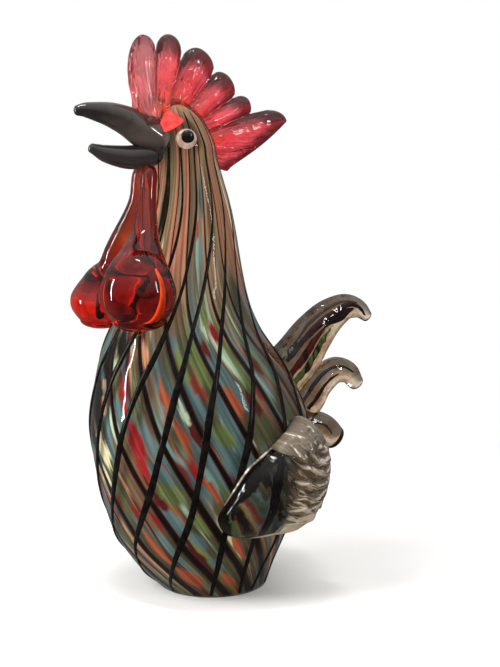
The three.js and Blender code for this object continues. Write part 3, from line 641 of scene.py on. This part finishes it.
# The pale pink on the front tongue is a painted glare.
red = laid_over(paint("#fcb3b6"), around, -0.004, 0.012, ramp.outputs[0])
dents = add(tree, "ShaderNodeTexNoise", {"Vector": fan, "Scale": 1000 / 9.091, "Detail": 1}).outputs["Fac"]
dents = add(tree, "ShaderNodeMath", {0: dents, 1: 0.9, 2: furrow}, operation="MULTIPLY_ADD").outputs[0]
bump = add(tree, "ShaderNodeBump", {"Height": dents, "Strength": 1, "Distance": 0.0011})
feed(shader, {
    "Base Color": red, "Transmission Weight": 1, "Roughness": 0.005, "IOR": 1.58,
    "Normal": bump.outputs[0],
})
depth = add(tree, "ShaderNodeVolumeAbsorption", {"Color": paint("#fc9fa2"), "Density": 80})
feed(tree.nodes["Material Output"], {"Volume": depth.outputs[0]})
comb_middle = Vector((0, body[-1][MIDDLE] - body[-1][RADIUS], cheek_height - 2))
comb_root, comb_front = 20, (-21, 24)
tongues = [  # turn, reach, fullness in front and behind, then the notch behind: turn, reach
    (-4.4, 55.8, 0.75, 1, 3.2, 47),
    (10.3, 56.9, 1, 1, 19.6, 45),
    (29, 56, 1, 1, 41.3, 48.5),
    (50, 55, 1, 1, 59.8, 50),
    (66, 58, 1, 1, 71.6, 55.5),
    (79.5, 75, 1, 0, 105, 42),
]
columns_up, columns_down, crowding, steps_out = 9, 11, 1.4, 26
half_at_root, half_at_tip, tip_bluntness, notch_thinning, thinning_span = 7.4, 4.2, 6, 0.62, 2.5
deepest_seat, shortest_tongue, seat_depth, seat_step = 7, 4, 2.5, 0.25
fan_radius = 0.04  # in metres, at which the pattern's length round the fan is true
turns, notches = [comb_front[0]], [comb_front] + [(t[4], t[5]) for t in tongues]
for i, (turn, reach, _, _, notch, _) in enumerate(tongues):
    before, up, down = notches[i][0], columns_up, columns_down
    turns += [before + (turn - before) * (1 - (1 - k / up) ** crowding) for k in range(1, up + 1)]
    turns += [turn + (notch - turn) * (k / down) ** crowding for k in range(1, down + 1)]
shares = [math.sin(k / steps_out * math.pi / 2) for k in range(steps_out)] + [1]
rings, rise_at, fan_at = [], [], []
for turn in turns:
    i = next((k for k, t in enumerate(tongues) if turn <= t[4]), len(tongues) - 1)
    peak, near = tongues[i], notches[i + 1] if turn >= tongues[i][0] else notches[i]
    full = peak[3] if turn >= peak[0] else peak[2]
    aside = min(abs((turn - peak[0]) / (near[0] - peak[0])), 1)
    reach = near[1] + (peak[1] - near[1]) * (1 - aside ** (1 + full)) ** (1.5 - full)
    ridge = math.cos(aside * math.pi / 2)
    way = Vector((0, math.sin(math.radians(turn)), math.cos(math.radians(turn))))
    start = comb_root - deepest_seat
    while start < reach - shortest_tongue:
        at = comb_middle + way * (start + seat_depth)
        middle, _, deep = section(at.z)
        if at.z > crown_height or abs(at.y - middle) > deep:
            break
        start += seat_step
    ring, other = [], []
    for share in shares:
        out = start + (reach - start) * share
        share = max((out - comb_root) / (reach - comb_root), 0)
        plain = half_at_root + (half_at_tip - half_at_root) * share
        plain *= math.sqrt(max(1 - share**tip_bluntness, 0))
        thinning = notch_thinning * (1 - ridge) * math.sin(min(share, 1) * thinning_span)
        half = plain * (1 - thinning)
        place = comb_middle + way * out
        for side, points in ((-half, ring), (half, other)):
            on_fan = (math.radians(turn) * fan_radius, out / 1000, side / 1000)
            points.append((place + across_bird * side, share, on_fan))
    ring += other[-2::-1]
    rings.append([p for p, _, _ in ring])
    rise_at += [s for _, s, _ in ring]
    fan_at += [f for _, _, f in ring]
ends = [sum(ring, Vector()) / len(ring) for ring in (rings[0], rings[-1])]
comb = lofted("comb_fan", rings, *ends, comb_glass)
give(comb, "rise", rise_at + [0, 0])
give(comb, "fan", fan_at + [fan_at[0], fan_at[-1]])
comb.visible_shadow = comb.visible_diffuse = False
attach(comb, "root")
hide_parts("comb")

# Wattles: two bits of clear red glass, dropped on under the beak and let run down the breast
# until each ended in a heavy drop, on a stem of its own. Threads of maroon glass curled up inside
# each drop. An orange curl along each drop's side and bottom is painted light: the bright orange
# rim where light comes through the drop's thin edge.

# Clear red glass, let run hot and struck unevenly: it swirls from orange to crimson, is a duller
# red up the stems and darkest where it is thick. Its fire polish shows lamps as small sharp lights.
drop_glass, tree, shader = new_material("clear_swirled_red_glass")
place = add(tree, "ShaderNodeTexCoord").outputs["Object"]
swirl = streaky(place, (22.727, 22.727, 50), 2, 1.2)
ramp = add(tree, "ShaderNodeValToRGB", {"Fac": swirl})
stops = [(0.36, "#cf4524"), (0.5, "#f57c4c"), (0.62, "#fdae70")]
for i, (at, code) in enumerate(stops):
    stop = ramp.color_ramp.elements[i] if i < 2 else ramp.color_ramp.elements.new(at)
    stop.position, stop.color = at, paint(code)
height = add(tree, "ShaderNodeSeparateXYZ", {0: place}).outputs[2]
stem_from, stem_full = 0.172, 0.192  # heights in metres between which the duller red sets in
red = laid_over(ramp.outputs[0], height, stem_from, stem_full, paint("#b0604f"))
feed(shader, {"Base Color": red, "Transmission Weight": 1, "Roughness": 0.01, "IOR": 1.45})
depth = add(tree, "ShaderNodeVolumeAbsorption", {"Color": paint("#f78961"), "Density": 110})
feed(tree.nodes["Material Output"], {"Volume": depth.outputs[0]})
uneven(15, 1)

# Opaque maroon glass, pulled to threads, and opaque orange for the painted rim light: plain
# streaky colours, with next to no gloss because they lie inside the clear red.
curl_glasses = {}
for name, dark, pale in (("maroon", "#3a0e0b", "#7c2417"), ("orange", "#ff7434", "#ffa45e")):
    curl_glasses[name], tree, shader = new_material(f"opaque_{name}_curl_glass")
    streaks = cloudy(dark, pale, 8.333, 0.4, 0.7, distortion=1)
    feed(shader, {"Base Color": streaks, "Roughness": 0.5, "Specular IOR Level": 0.1})
curls = [  # glass, then shares of the drop's half width aside and length up, and the radius in mm
    ("maroon", [
        (0.1, 1.1, 0.8), (0.18, 0.72, 1.3), (0.38, 0.54, 1.9), (0.5, 0.26, 2.2), (0.36, 0.02, 1.7),
        (0.16, -0.03, 1.1), (0, 0.05, 0.5),
    ]),
    ("maroon", [
        (-0.56, 0.24, 0.5), (-0.58, -0.04, 1), (-0.5, -0.26, 1.9), (-0.3, -0.36, 2.4),
        (-0.12, -0.34, 1.1),
    ]),
    # Painted light: this orange curl runs round the drop's side and bottom, where its rim glows.
    ("orange", [
        (0.5, 0.62, 0.5), (0.66, 0.3, 1), (0.68, -0.06, 1.3), (0.56, -0.4, 1.6), (0.34, -0.58, 1.1),
        (0.16, -0.62, 0.4),
    ]),
]
drops = {  # height, turn, width, depth, length, rise and reach of the neck, swell of the shoulder
    "left": (157.5, -58, 18.8, 17.5, 18.5, 27.3, 0.42, 0.89),
    "right": (149, -58, 18, 15.8, 15, 26, 0.55, 0.72),
}
stem_radius, stem_spread, stem_ahead, drop_seat, round_from = 4.3, 5.2, 4, 3.5, 0.7
curl_girth = {"left": 1, "right": 0.6}
for name, (height, turn, width, depth, length, neck_rise, neck_reach, shoulder) in drops.items():
    mirror = 1 if name == "left" else -1
    root_height = lower_root + lower_beak[1][1]
    root = Vector((stem_spread, on_body(lower_root, -90).y - stem_ahead, root_height))
    middle = on_body(height, turn, depth - drop_seat)
    top = height + neck_rise
    rows = [  # share of the way from the root to the drop, height, half width and half depth
        (-0.1, root_height - 6, stem_radius * 0.7, stem_radius * 0.7),
        (0, root_height - 9, stem_radius, stem_radius),
        (0.12, (root_height + top) / 2, stem_radius, stem_radius),
        (neck_reach, top, stem_radius * 1.6, stem_radius * 1.6),
        (0.72, height + neck_rise * 0.585, width * shoulder * 0.72, depth * shoulder * 0.72),
        (0.92, height + neck_rise * 0.3, width * shoulder, depth * shoulder),
        (1, height, width, depth),
        (1, height - length * 0.4, width * 0.917, depth * 0.917),
        (1, height - length * round_from, width * 0.714, depth * 0.714),
    ]
    stations = []
    for share, level, wide, deep in rows:
        at = root.lerp(middle, share)
        stations.append((Vector((at.x * mirror, at.y, level)), wide, deep))
    angle = math.radians(turn)
    along_breast = Vector((-math.sin(angle) * mirror, math.cos(angle), 0))
    tip = length * (1 - round_from)
    wattle = limb(f"{name}_wattle", stations, along_breast, tip, drop_glass, sides=64, sink=0.5)
    wattle.visible_shadow = wattle.visible_diffuse = False
    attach(wattle, "root")
    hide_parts(f"wattle_{name}")
    centre = stations[6][0]
    for k, (glass, curl) in enumerate(curls):
        path = []
        for aside, up, radius in curl:
            at = centre + along_breast * aside * width + Vector((0, 0, up * length))
            path.append((at, radius * curl_girth[name], radius * curl_girth[name]))
        label, glass = f"{name}_wattle_curl_{k + 1}", curl_glasses[glass]
        thread = limb(label, path, across_bird, 0.6, glass, sides=14, steps=40, sink=3)
        thread.visible_shadow = False
        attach(thread, "root")

# Eyes: a dot of pinkish opal glass pressed flat on the clear head, and a smaller black dot on it,
# a little above its middle.

# Opal glass, fire polished: a milky pinkish white with faint clouds and a small highlight.
opal_glass, tree, shader = new_material("opal_white_glass")
feed(shader, {"Base Color": cloudy("#9f7f74", "#c6a79b", 3.333, 0.3, 0.7), "Roughness": 0.1})

# Opaque black glass, fire polished to a tight bead: black, with a small hard highlight.
pupil_glass, tree, shader = new_material("glossy_black_dot_glass")
feed(shader, {"Base Color": cloudy("#070505", "#1a1110", 3.846, 0.35, 0.7), "Roughness": 0.04})
dots = [  # name, node, radius, bulge, how far out and up its middle is, material and slot
    ("eye_dot", "eye", 4.9, 3, 0, 0, opal_glass, "white_glass"),
    ("pupil_dot", "pupil", 3.3, 1.6, 2.1, 1.1, pupil_glass, "black_glass"),
]
eye_height, eye_turn = cheek_height + 4, -9.5
dot_sides, dot_rings, wall_rings, wall_step = 40, 12, 3, 0.9
seat = on_body(eye_height, eye_turn)
out = (on_body(eye_height, eye_turn, 6) - seat).normalized()
side = Vector((0, 0, 1)).cross(out).normalized()
upward = out.cross(side)
for side_name, mirror in (("left", 1), ("right", -1)):
    for name, node, radius, bulge, lift, raised, glass, slot in dots:
        rings = []
        middle = seat + upward * raised
        for k in range(-wall_rings, dot_rings):
            angle = max(k, 0) / dot_rings * math.pi / 2
            centre = middle + out * (lift + bulge * math.sin(angle) + min(k, 0) * wall_step)
            reach, ring = radius * math.cos(angle), []
            for j in range(dot_sides):
                around = j / dot_sides * 2 * math.pi
                ring.append(centre + (side * math.cos(around) + upward * math.sin(around)) * reach)
            rings.append(mirrored(ring, mirror))
        ends = [middle + out * far for far in (lift - wall_rings * wall_step, lift + bulge)]
        dot = lofted(f"{side_name}_{name}", rings, *mirrored(ends, mirror), glass)
        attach(dot, "root")
        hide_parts(f"{node}_{side_name}")

# Wings: thick leaves of clear, faintly smoky glass, laid on the flanks hot. The front was left as
# a smooth lens with one crease, and the back was pressed with a ribbed tool into nested arcs.

# Clear, faintly smoky glass, pressed: in front it shows the body's colours like a dark lens, and it
# is polished over shallow dimples, so its highlights are small. It bends light less than the
# casing does, as the lens in the photograph seems to.
wing_glass, tree, shader = new_material("pressed_pale_smoke_glass")
smoke = cloudy("#fbf8f3", "#efe7da", 14.286, 0.4, 0.7)
feed(shader, {"Base Color": smoke, "Transmission Weight": 1, "Roughness": 0.01, "IOR": 1.33})
depth = add(tree, "ShaderNodeVolumeAbsorption", {"Color": paint("#ece4d2"), "Density": 60})
feed(tree.nodes["Material Output"], {"Volume": depth.outputs[0]})
uneven(4, 0.35)
wing_height, wing_turn, wing_thickness, wing_rim, wing_seat = 64.5, 19, 15.5, 2, 0.5
dome_fullness, rear_fullness, dome_roundness, trim_fade = 2.6, 2.4, 0.6, 4
rib_spacing, rib_depth, rib_start, rib_waver, fold_size = 6, 2.2, -3, 0.3, 7
arcs_rear, arcs_up = 20, 20  # the middle that the ribs run round
crease_at, crease_lean, crease_width, crease_depth = -12, 0.06, 0.9, 0.7
wing_outline = [  # to the rear and up from the wing's middle
    (20, 30), (1, 22), (-15, 12), (-26, -5), (-30.5, -15), (-25, -24), (3, -28.5), (30, -28.5),
    (39, -15), (34, 6), (26.5, 24),
]
wing_points, wing_rings, seat_share = 220, 70, 0.97
outline = [Vector((*p, 0)) for p in wing_outline]
edge = [path_point(outline, k / wing_points, True) for k in range(wing_points)]
bearings = np.unwrap([math.atan2(p.y, p.x) for p in edge])
flank = section(wing_height)[1]


def wing_lift(rear, up):
    """How far the wing stands off the body, and how high its ribs are there, from -1 to 1."""
    reach = np.interp(math.atan2(up, rear), bearings, [p.length for p in edge], period=2 * math.pi)
    share = min(math.hypot(rear, up) / reach, 1)
    full = dome_fullness + rear_fullness * eased(0, 25, rear - up * 0.6)
    lift = wing_rim + wing_thickness * (1 - share**full) ** dome_roundness
    rough = noise.noise(Vector((rear / fold_size, up / fold_size, 3)))
    behind = eased(rib_start - 4, rib_start + 3, rear + 4 * rough) * (1 - eased(12, 20, up))
    arcs = math.hypot(rear - arcs_rear, up - arcs_up) / rib_spacing + rib_waver * rough
    ribs = 1 - 2 * abs(math.sin(arcs * math.pi))
    inside = 1 - share**trim_fade
    lift += rib_depth * behind * ribs * inside * (1 - eased(14, 28, rear))
    from_crease = (rear - crease_at - up * crease_lean) / crease_width
    lift -= crease_depth * math.exp(-(from_crease**2)) * inside
    return lift, ribs * behind


def wing_point(rear, up, lift, mirror):
    """Point on a wing, to the rear and up from its middle, so far off the body."""
    at = on_body(wing_height + up, wing_turn + math.degrees(rear / flank), lift)
    return Vector((at.x * mirror, at.y, at.z))


ring_shares = [math.sin((1 - k / wing_rings) * math.pi / 2) for k in range(wing_rings)]
for side_name, mirror in (("left", 1), ("right", -1)):
    rings = [[wing_point(p.x * seat_share, p.y * seat_share, -wing_seat, mirror) for p in edge]]
    for share in ring_shares:
        ring = [(p.x * share, p.y * share) for p in edge]
        rings.append([wing_point(rear, up, wing_lift(rear, up)[0], mirror) for rear, up in ring])
    ends = [wing_point(0, 0, lift, mirror) for lift in (-wing_seat, wing_rim + wing_thickness)]
    wing = lofted(f"{side_name}_wing", rings, *ends, wing_glass)
    wing.visible_shadow = wing.visible_diffuse = False
    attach(wing, "root")
    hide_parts(f"wing_{side_name}")

# Light sheets inside the wings: opaque sheets just under the ribs carry painted light and shade for
# the ribbed back, and a thin pale rod of the same under the front edge is a painted highlight.

# Painted light and shade of the pressed ribs: the back of the wing is pale grey-brown, with painted
# shade in the valleys between the ribs and painted highlights as cream lines along them. It is amber
# at the rear, partly the glass's tint and partly painted light through it, and has a painted cream
# highlight at the lower edge. It hides the body, while the front stays clear. The highlight lines
# are drawn as streaks 2 mm wide.
painted_rib_glass, tree, shader = new_material("rib_light_and_shade_paint")
ridge = add(tree, "ShaderNodeAttribute", attribute_name="ridge").outputs["Fac"]
arc = add(tree, "ShaderNodeAttribute", attribute_name="arc").outputs["Vector"]
highlight_streaks = {0: streaky(arc, (1.923, 9.091, 3.333), 3, 0.8), 1: 2.4, 2: ridge}
ridge = add(tree, "ShaderNodeMath", highlight_streaks, operation="MULTIPLY_ADD").outputs[0]
rear_share = add(tree, "ShaderNodeSeparateXYZ", {0: arc}).outputs[2]
# Painted shade: darkest in the valleys between the ribs.
painted_rib_tones = laid_over(paint("#4b4037"), ridge, 0.6, 0.95, paint("#857868"))
painted_rib_tones = laid_over(painted_rib_tones, ridge, 1.08, 1.36, paint("#9d8f7d"))
amber = laid_over(paint("#74543f"), ridge, 0.85, 1.3, paint("#ad8b6b"))
painted_rib_tones = laid_over(painted_rib_tones, rear_share, 0.001, 0.01, amber)
# Painted highlight: cream lines along the rib crests and at the lower edge.
painted_rib_tones = laid_over(painted_rib_tones, ridge, 1.3, 1.52, paint("#f8f0e4"))
feed(shader, {"Base Color": painted_rib_tones, "Roughness": 0.3, "Specular IOR Level": 0.4})
sheet_depth, sheet_low, sheet_seat, sheet_rows, sheet_columns = 1.6, 0.6, 0.2, 90, 60
rib_contrast, rear_contrast, plain_tone, dome_tone, edge_tone = 0.54, 0.3, 0.19, -0.08, 1.1
arc_radius, amber_share = 0.03, 0.01  # in metres
sheet_front = [  # height from the wing's middle, and where the ribbed part starts there
    (-27.9, 0), (-26.8, -13), (-24.6, -10), (-22.5, 2), (-19, 5), (0, 5), (11, 5), (14, 3),
    (17.4, -4), (21, 1), (25, 10), (28.6, 18),
]
sheet_back = [(-27.9, 24), (-24, 31.5), (-14, 36.4), (6, 32), (20, 26), (24, 24.4), (28.6, 20.6)]
edge_highlight_line = [  # to the rear and up from the wing's middle, and the radius
    (-27.4, -8, 0.3), (-22, 1.5, 0.7), (-16.5, 9.8, 0.8), (-10, 14.3, 0.8), (-4.5, 17.6, 0.5),
]
edge_highlight_lift, edge_highlight_tone, edge_highlight_step = 1.3, 0.1, 4e-5


def with_pattern(piece, ridge_at, arc_at):
    """Gives a piece of the painted light sheets what its material reads, and its body."""
    give(piece, "ridge", ridge_at)
    give(piece, "arc", arc_at)
    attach(piece, "root")


for side_name, mirror in (("left", 1), ("right", -1)):
    rings, ridge_at, arc_at = [], [], []
    for i in range(sheet_rows + 1):
        up = sheet_front[0][0] + (sheet_front[-1][0] - sheet_front[0][0]) * i / sheet_rows
        front, back = smooth(sheet_front, 1, up), smooth(sheet_back, 1, up)
        low, on_dome = eased(-16, -22, up), eased(9, 17, up)
        ring = []
        for k in list(range(sheet_columns + 1)) + list(range(sheet_columns - 1, 0, -1)):
            under = len(ring) > sheet_columns
            rear = front + (back - front) * k / sheet_columns
            lift, ribs = wing_lift(rear, up)
            lift = sheet_seat if under else max(lift - sheet_depth, sheet_low)
            ring.append(wing_point(rear, up, lift, mirror))
            ribs *= rib_contrast + (rear_contrast - rib_contrast) * eased(16, 30, rear)
            tone = ribs + plain_tone + (dome_tone - plain_tone) * on_dome
            ridge_at.append(tone * (1 - low) + edge_tone * low * eased(30, 14, rear))
            away_rear, away_up = rear - arcs_rear, up - arcs_up
            far, bearing = math.hypot(away_rear, away_up), math.atan2(away_up, away_rear)
            at_back = eased(20, 28, rear) * eased(22, 12, up)
            arc_at.append((far / 1000, bearing * arc_radius, at_back * amber_share))
        rings.append(ring)
    ends = [sum(ring, Vector()) / len(ring) for ring in (rings[0], rings[-1])]
    light_sheet = lofted(f"{side_name}_wing_light_sheet", rings, *ends, painted_rib_glass)
    with_pattern(light_sheet, ridge_at + [0, 0], arc_at + [arc_at[0], arc_at[-1]])
    # Painted highlight along the front edge of the wing, where its bevel catches the light.
    path = [(wing_point(x, y, edge_highlight_lift, mirror), radius, radius) for x, y, radius in edge_highlight_line]
    label = f"{side_name}_wing_edge_highlight"
    edge_highlight = limb(label, path, across_bird, 0.6, painted_rib_glass, sides=14, steps=40, sink=0)
    count = len(edge_highlight.data.vertices)
    with_pattern(edge_highlight, [edge_highlight_tone] * count, [(k * edge_highlight_step, 0.01, 0) for k in range(count)])

# Tail: three feathers of clear amber glass, each laid on the back hot and drawn up and over into
# a hook. Bits of the body's colours were pulled out with them, and lie inside as dark forked
# strands, with red and green ones at the root of the uppermost. A pale one there is a painted glint.

# Clear glass with a trace of amber, drawn: nearly colourless and full of soft amber streaks, and
# browner where it is thick. The uneven pull left it wavy, so its highlights are broken and bright.
tail_glass, tree, shader = new_material("drawn_pale_amber_glass")
place = add(tree, "ShaderNodeTexCoord").outputs["Object"]
amber = streaky(place, (6.25, 20, 14.286), 3, 1.5)
amber = laid_over(paint("#faf2e6"), amber, 0.42, 0.66, paint("#cfa882"))
feed(shader, {"Base Color": amber, "Transmission Weight": 1, "Roughness": 0.01, "IOR": 1.45})
depth = add(tree, "ShaderNodeVolumeAbsorption", {"Color": paint("#e2d6c6"), "Density": 150})
feed(tree.nodes["Material Output"], {"Volume": depth.outputs[0]})
uneven(8, 1.4)

# Opaque glass of the body's colours, pulled to strands: each has its own colour with dark brown
# streaks, and next to no gloss because it lies inside the feather. The pale one is a painted glint.
strand_glass, tree, shader = new_material("opaque_strand_glass")
drawn = add(tree, "ShaderNodeAttribute", attribute_name="drawn").outputs["Vector"]
own = add(tree, "ShaderNodeAttribute", attribute_name="own").outputs["Color"]
streaked = laid_over(own, drawn_noise(1.2, 9, 4.0, 2), 0.5, 0.62, paint("#2a1712"))
feed(shader, {"Base Color": streaked, "Roughness": 0.5, "Specular IOR Level": 0.1})
feathers = {  # root height, flatness, length of the tip, then how far out and up, and the radius
    "upper": (104, 0.72, 2.2, [
        (-15, -8, 14), (5, 9, 13.6), (15.5, 22, 11.8), (25.5, 31.2, 9.6), (35.5, 35.4, 7.2),
        (43.4, 33.8, 5), (48.3, 29.8, 3.2),
    ]),
    "middle": (88, 0.8, 3.4, [
        (-15, -14, 9), (7, 1, 8.4), (14, 11, 8), (23, 17.4, 7.4), (31.5, 15.8, 6), (36.6, 10, 4.4),
    ]),
    "lower": (76, 0.9, 3.5, [(-15, 1, 8.5), (9, 1, 8), (16.5, -2, 7.8), (23, -7.4, 6.6)]),
}
strands = {  # colour, shares of the feather's path, and three times: below the middle, radius in mm
    "upper": [
        ("#4a1c19", 0.14, 0.6, (-0.35, 0.9), (-0.2, 1.5), (0.1, 1.8)),
        ("#241310", 0.5, 0.93, (0.2, 1.8), (-0.25, 1), (0.1, 0.5)),
        ("#241310", 0.42, 0.72, (0.1, 1.3), (0.45, 2), (0.2, 0.6)),
        ("#8a2a22", 0.1, 0.42, (0.25, 1.2), (0.2, 1.6), (0.25, 0.6)),
        ("#86a860", 0.06, 0.42, (0.62, 1.2), (0.62, 1.5), (0.55, 0.5)),
        # Painted highlight: this pale strand stands for a white-mint glint at the feather's root.
        ("#b9d3c4", 0.12, 0.26, (-0.55, 1), (-0.6, 1.3), (-0.5, 0.5)),
        ("#5b4636", 0.2, 0.75, (-0.6, 0.5), (-0.6, 0.7), (-0.5, 0.3)),
    ],
    "middle": [
        ("#241310", 0.18, 0.82, (-0.4, 0.8), (-0.35, 0.8), (-0.3, 0.4)),
        ("#4a241c", 0.18, 0.62, (0.3, 0.9), (0.4, 0.7), (0.4, 0.3)),
    ],
    "lower": [
        ("#6b4c36", 0.3, 0.8, (-0.2, 0.5), (-0.25, 0.5), (-0.1, 0.3)),
    ],
}
strand_spans, room_share = 6, 0.7  # strands keep to the middle of the feather
for name, (root, flat, tip, rows) in feathers.items():
    back = on_body(root, 90).y
    stations = [(Vector((0, back + out, root + rise)), radius * flat, radius) for out, rise, radius in rows]
    feather = limb(f"{name}_feather", stations, across_bird, tip, tail_glass, sink=0.6)
    feather.visible_shadow = feather.visible_diffuse = False
    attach(feather, "root")
    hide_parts(f"tail_feather_{name}")
    places, last = [s[0] for s in stations], len(stations) - 1
    radii = [(i / last, s[2]) for i, s in enumerate(stations)]
    for k, (code, start, end, *shape) in enumerate(strands[name]):
        path = []
        for i in range(strand_spans + 1):
            share = i / strand_spans
            t = start + (end - start) * share
            ahead = (path_point(places, min(t + 1e-3, 1)) - path_point(places, t)).normalized()
            below, radius = [smooth([(j / 2, shape[j][c]) for j in range(3)], 1, share) for c in range(2)]
            down = across_bird.cross(ahead)
            down = down if down.z < 0 else -down
            at = path_point(places, t) + down * (below * smooth(radii, 1, t) * room_share)
            path.append((at, radius, radius))
        label = f"{name}_strand_{k + 1}"
        strand = limb(label, path, across_bird, 1.2, strand_glass, sides=14, steps=24, sink=2)
        strand.visible_shadow = False
        at = [tuple(v.co) for v in strand.data.vertices]
        give(strand, "drawn", at)
        give(strand, "own", [paint(code)] * len(at))
        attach(strand, "root")

# Floor: white paper sweep, bright behind the bird and softly shaded under it. What glass shows of
# it is duller and darkest beside the foot, like a real sweep that runs up behind the camera dim.

# White paper, plain and matt: even white, with no gloss. It is too smooth for its grain to show.
paper, tree, shader = new_material("white_paper_sweep")
feed(shader, {"Base Color": paint("#f4f3f1"), "Roughness": 0.9, "Specular IOR Level": 0})
ray = add(tree, "ShaderNodeLightPath").outputs
spot = add(tree, "ShaderNodeTexCoord").outputs["Object"]
far = add(tree, "ShaderNodeVectorMath", {0: spot}, operation="LENGTH").outputs["Value"]
white = (1, 1, 1, 1)
share = {"Value": far, "From Min": 0.1, "From Max": 0.35}
share = add(tree, "ShaderNodeMapRange", share, interpolation_type="SMOOTHSTEP").outputs[0]
seen = {0: share, 1: ray["Is Camera Ray"]}
seen = add(tree, "ShaderNodeMath", seen, operation="MULTIPLY").outputs[0]
glow = add(tree, "ShaderNodeEmission", {"Color": white, "Strength": 1.0})
sweep = add(tree, "ShaderNodeMixShader", {0: seen, 1: shader.outputs[0], 2: glow.outputs[0]})
share = {"Value": far, "From Min": 0.05, "From Max": 1.2, "To Min": 0.2, "To Max": 0.6}
share = add(tree, "ShaderNodeMapRange", share, interpolation_type="SMOOTHSTEP").outputs[0]
in_glass = {0: ray["Is Transmission Ray"], 2: 0.16, 3: share}
in_glass = add(tree, "ShaderNodeMix", in_glass, data_type="FLOAT").outputs[0]
dim = add(tree, "ShaderNodeEmission", {"Color": white, "Strength": in_glass})
sweep = {0: ray["Is Glossy Ray"], 1: sweep.outputs[0], 2: dim.outputs[0]}
sweep = add(tree, "ShaderNodeMixShader", sweep)
feed(tree.nodes["Material Output"], {"Surface": sweep.outputs[0]})
floor_radius, floor_sides = 3, 96
mesh = bpy.data.meshes.new("floor")
angles = [k * 2 * math.pi / floor_sides for k in range(floor_sides)]
rim = [(floor_radius * math.cos(a), floor_radius * math.sin(a), 0) for a in angles]
faces = [(0, k + 1, (k + 1) % floor_sides + 1) for k in range(floor_sides)]
mesh.from_pydata([(0, 0, 0)] + rim, [], faces)
mesh.materials.append(paper)
floor = placed("floor", mesh)

# Light: a soft plain studio, white behind the bird. In the glass it is pale low down and dull high
# up, in soft patches and the same all round, and three thin lamps show as bright lines on swells.
world = bpy.data.worlds.new("studio")
bpy.context.scene.world = world
world.use_nodes = True
tree = world.node_tree
ray = add(tree, "ShaderNodeLightPath").outputs
way = add(tree, "ShaderNodeTexCoord").outputs["Generated"]
above = add(tree, "ShaderNodeSeparateXYZ", {0: way}).outputs[2]
room = add(tree, "ShaderNodeTexNoise", {"Vector": way, "Scale": 4, "Detail": 1}).outputs["Fac"]
refracted = {0: room, 1: -1.6, 2: above}
refracted = add(tree, "ShaderNodeMath", refracted, operation="MULTIPLY_ADD").outputs[0]
refracted = {"Value": refracted, "From Min": -0.9, "From Max": -0.1, "To Min": 1, "To Max": 0.42}
refracted = add(tree, "ShaderNodeMapRange", refracted, interpolation_type="SMOOTHSTEP").outputs[0]
reflected = {"Value": above, "From Min": -0.1, "From Max": 0.9, "To Min": 0.06, "To Max": 1}
reflected = add(tree, "ShaderNodeMapRange", reflected).outputs[0]
strength = 0.5
for kind, level in (("Glossy", reflected), ("Transmission", refracted), ("Camera", 1)):
    level = {0: ray[f"Is {kind} Ray"], 2: strength, 3: level}
    strength = add(tree, "ShaderNodeMix", level, data_type="FLOAT").outputs[0]
feed(tree.nodes["Background"], {"Color": white, "Strength": strength})

aim = Vector((0, 0, 0.13))
right, up = Vector((0.42262, 0.90631, 0)), Vector((-0.1573, 0.0734, 0.9848))
back = Vector((0.8925, -0.4162, 0.1736))  # from the bird to the camera
lamps = [  # name, right, up and towards the camera in metres, width, height, watts, shows in glass
    ("window", -0.75, 0.75, 0.55, 0.55, 0.55, 10, False),
    ("top", 0.15, 1.1, 0.1, 0.7, 0.7, 5, False),
    ("fill", 0.7, 0.35, 0.9, 0.9, 0.9, 1, False),
    ("left_strip", -0.95, 0.12, 0.17, 0.05, 0.5, 4.8, True),
    ("right_strip", 0.8, 0.25, 0.55, 0.06, 0.34, 1.4, True),
    ("top_strip", -0.1, 0.9, 0.3, 0.3, 0.04, 2, True),
]
for name, x, z, y, width, tall, watts, shows in lamps:
    light = bpy.data.lights.new(name, "AREA")
    light.shape, light.size, light.size_y, light.energy = "RECTANGLE", width, tall, watts
    lamp = placed(name, light)
    lamp.location = aim + right * x + up * z + back * y
    lamp.rotation_euler = (lamp.location - aim).to_track_quat("Z", "Y").to_euler()
    lamp.visible_glossy = lamp.visible_transmission = shows

# Camera: ten degrees above the level, on the bird's left and a little ahead of its side.
focal_length, frame_height, sensor_height = 1371, 667, 24  # pixels of the photograph, then mm
camera_place = Vector((0.633175, -0.285080, 0.252460))
lens = bpy.data.cameras.new("camera")
lens.sensor_fit, lens.sensor_height = "VERTICAL", sensor_height
lens.lens = sensor_height * focal_length / frame_height
camera = placed("camera", lens)
turned = Matrix((right, up, back)).transposed().to_4x4()
camera.matrix_world = Matrix.Translation(camera_place) @ turned
bpy.context.scene.camera = camera
bpy.context.scene.view_settings.view_transform = "Standard"
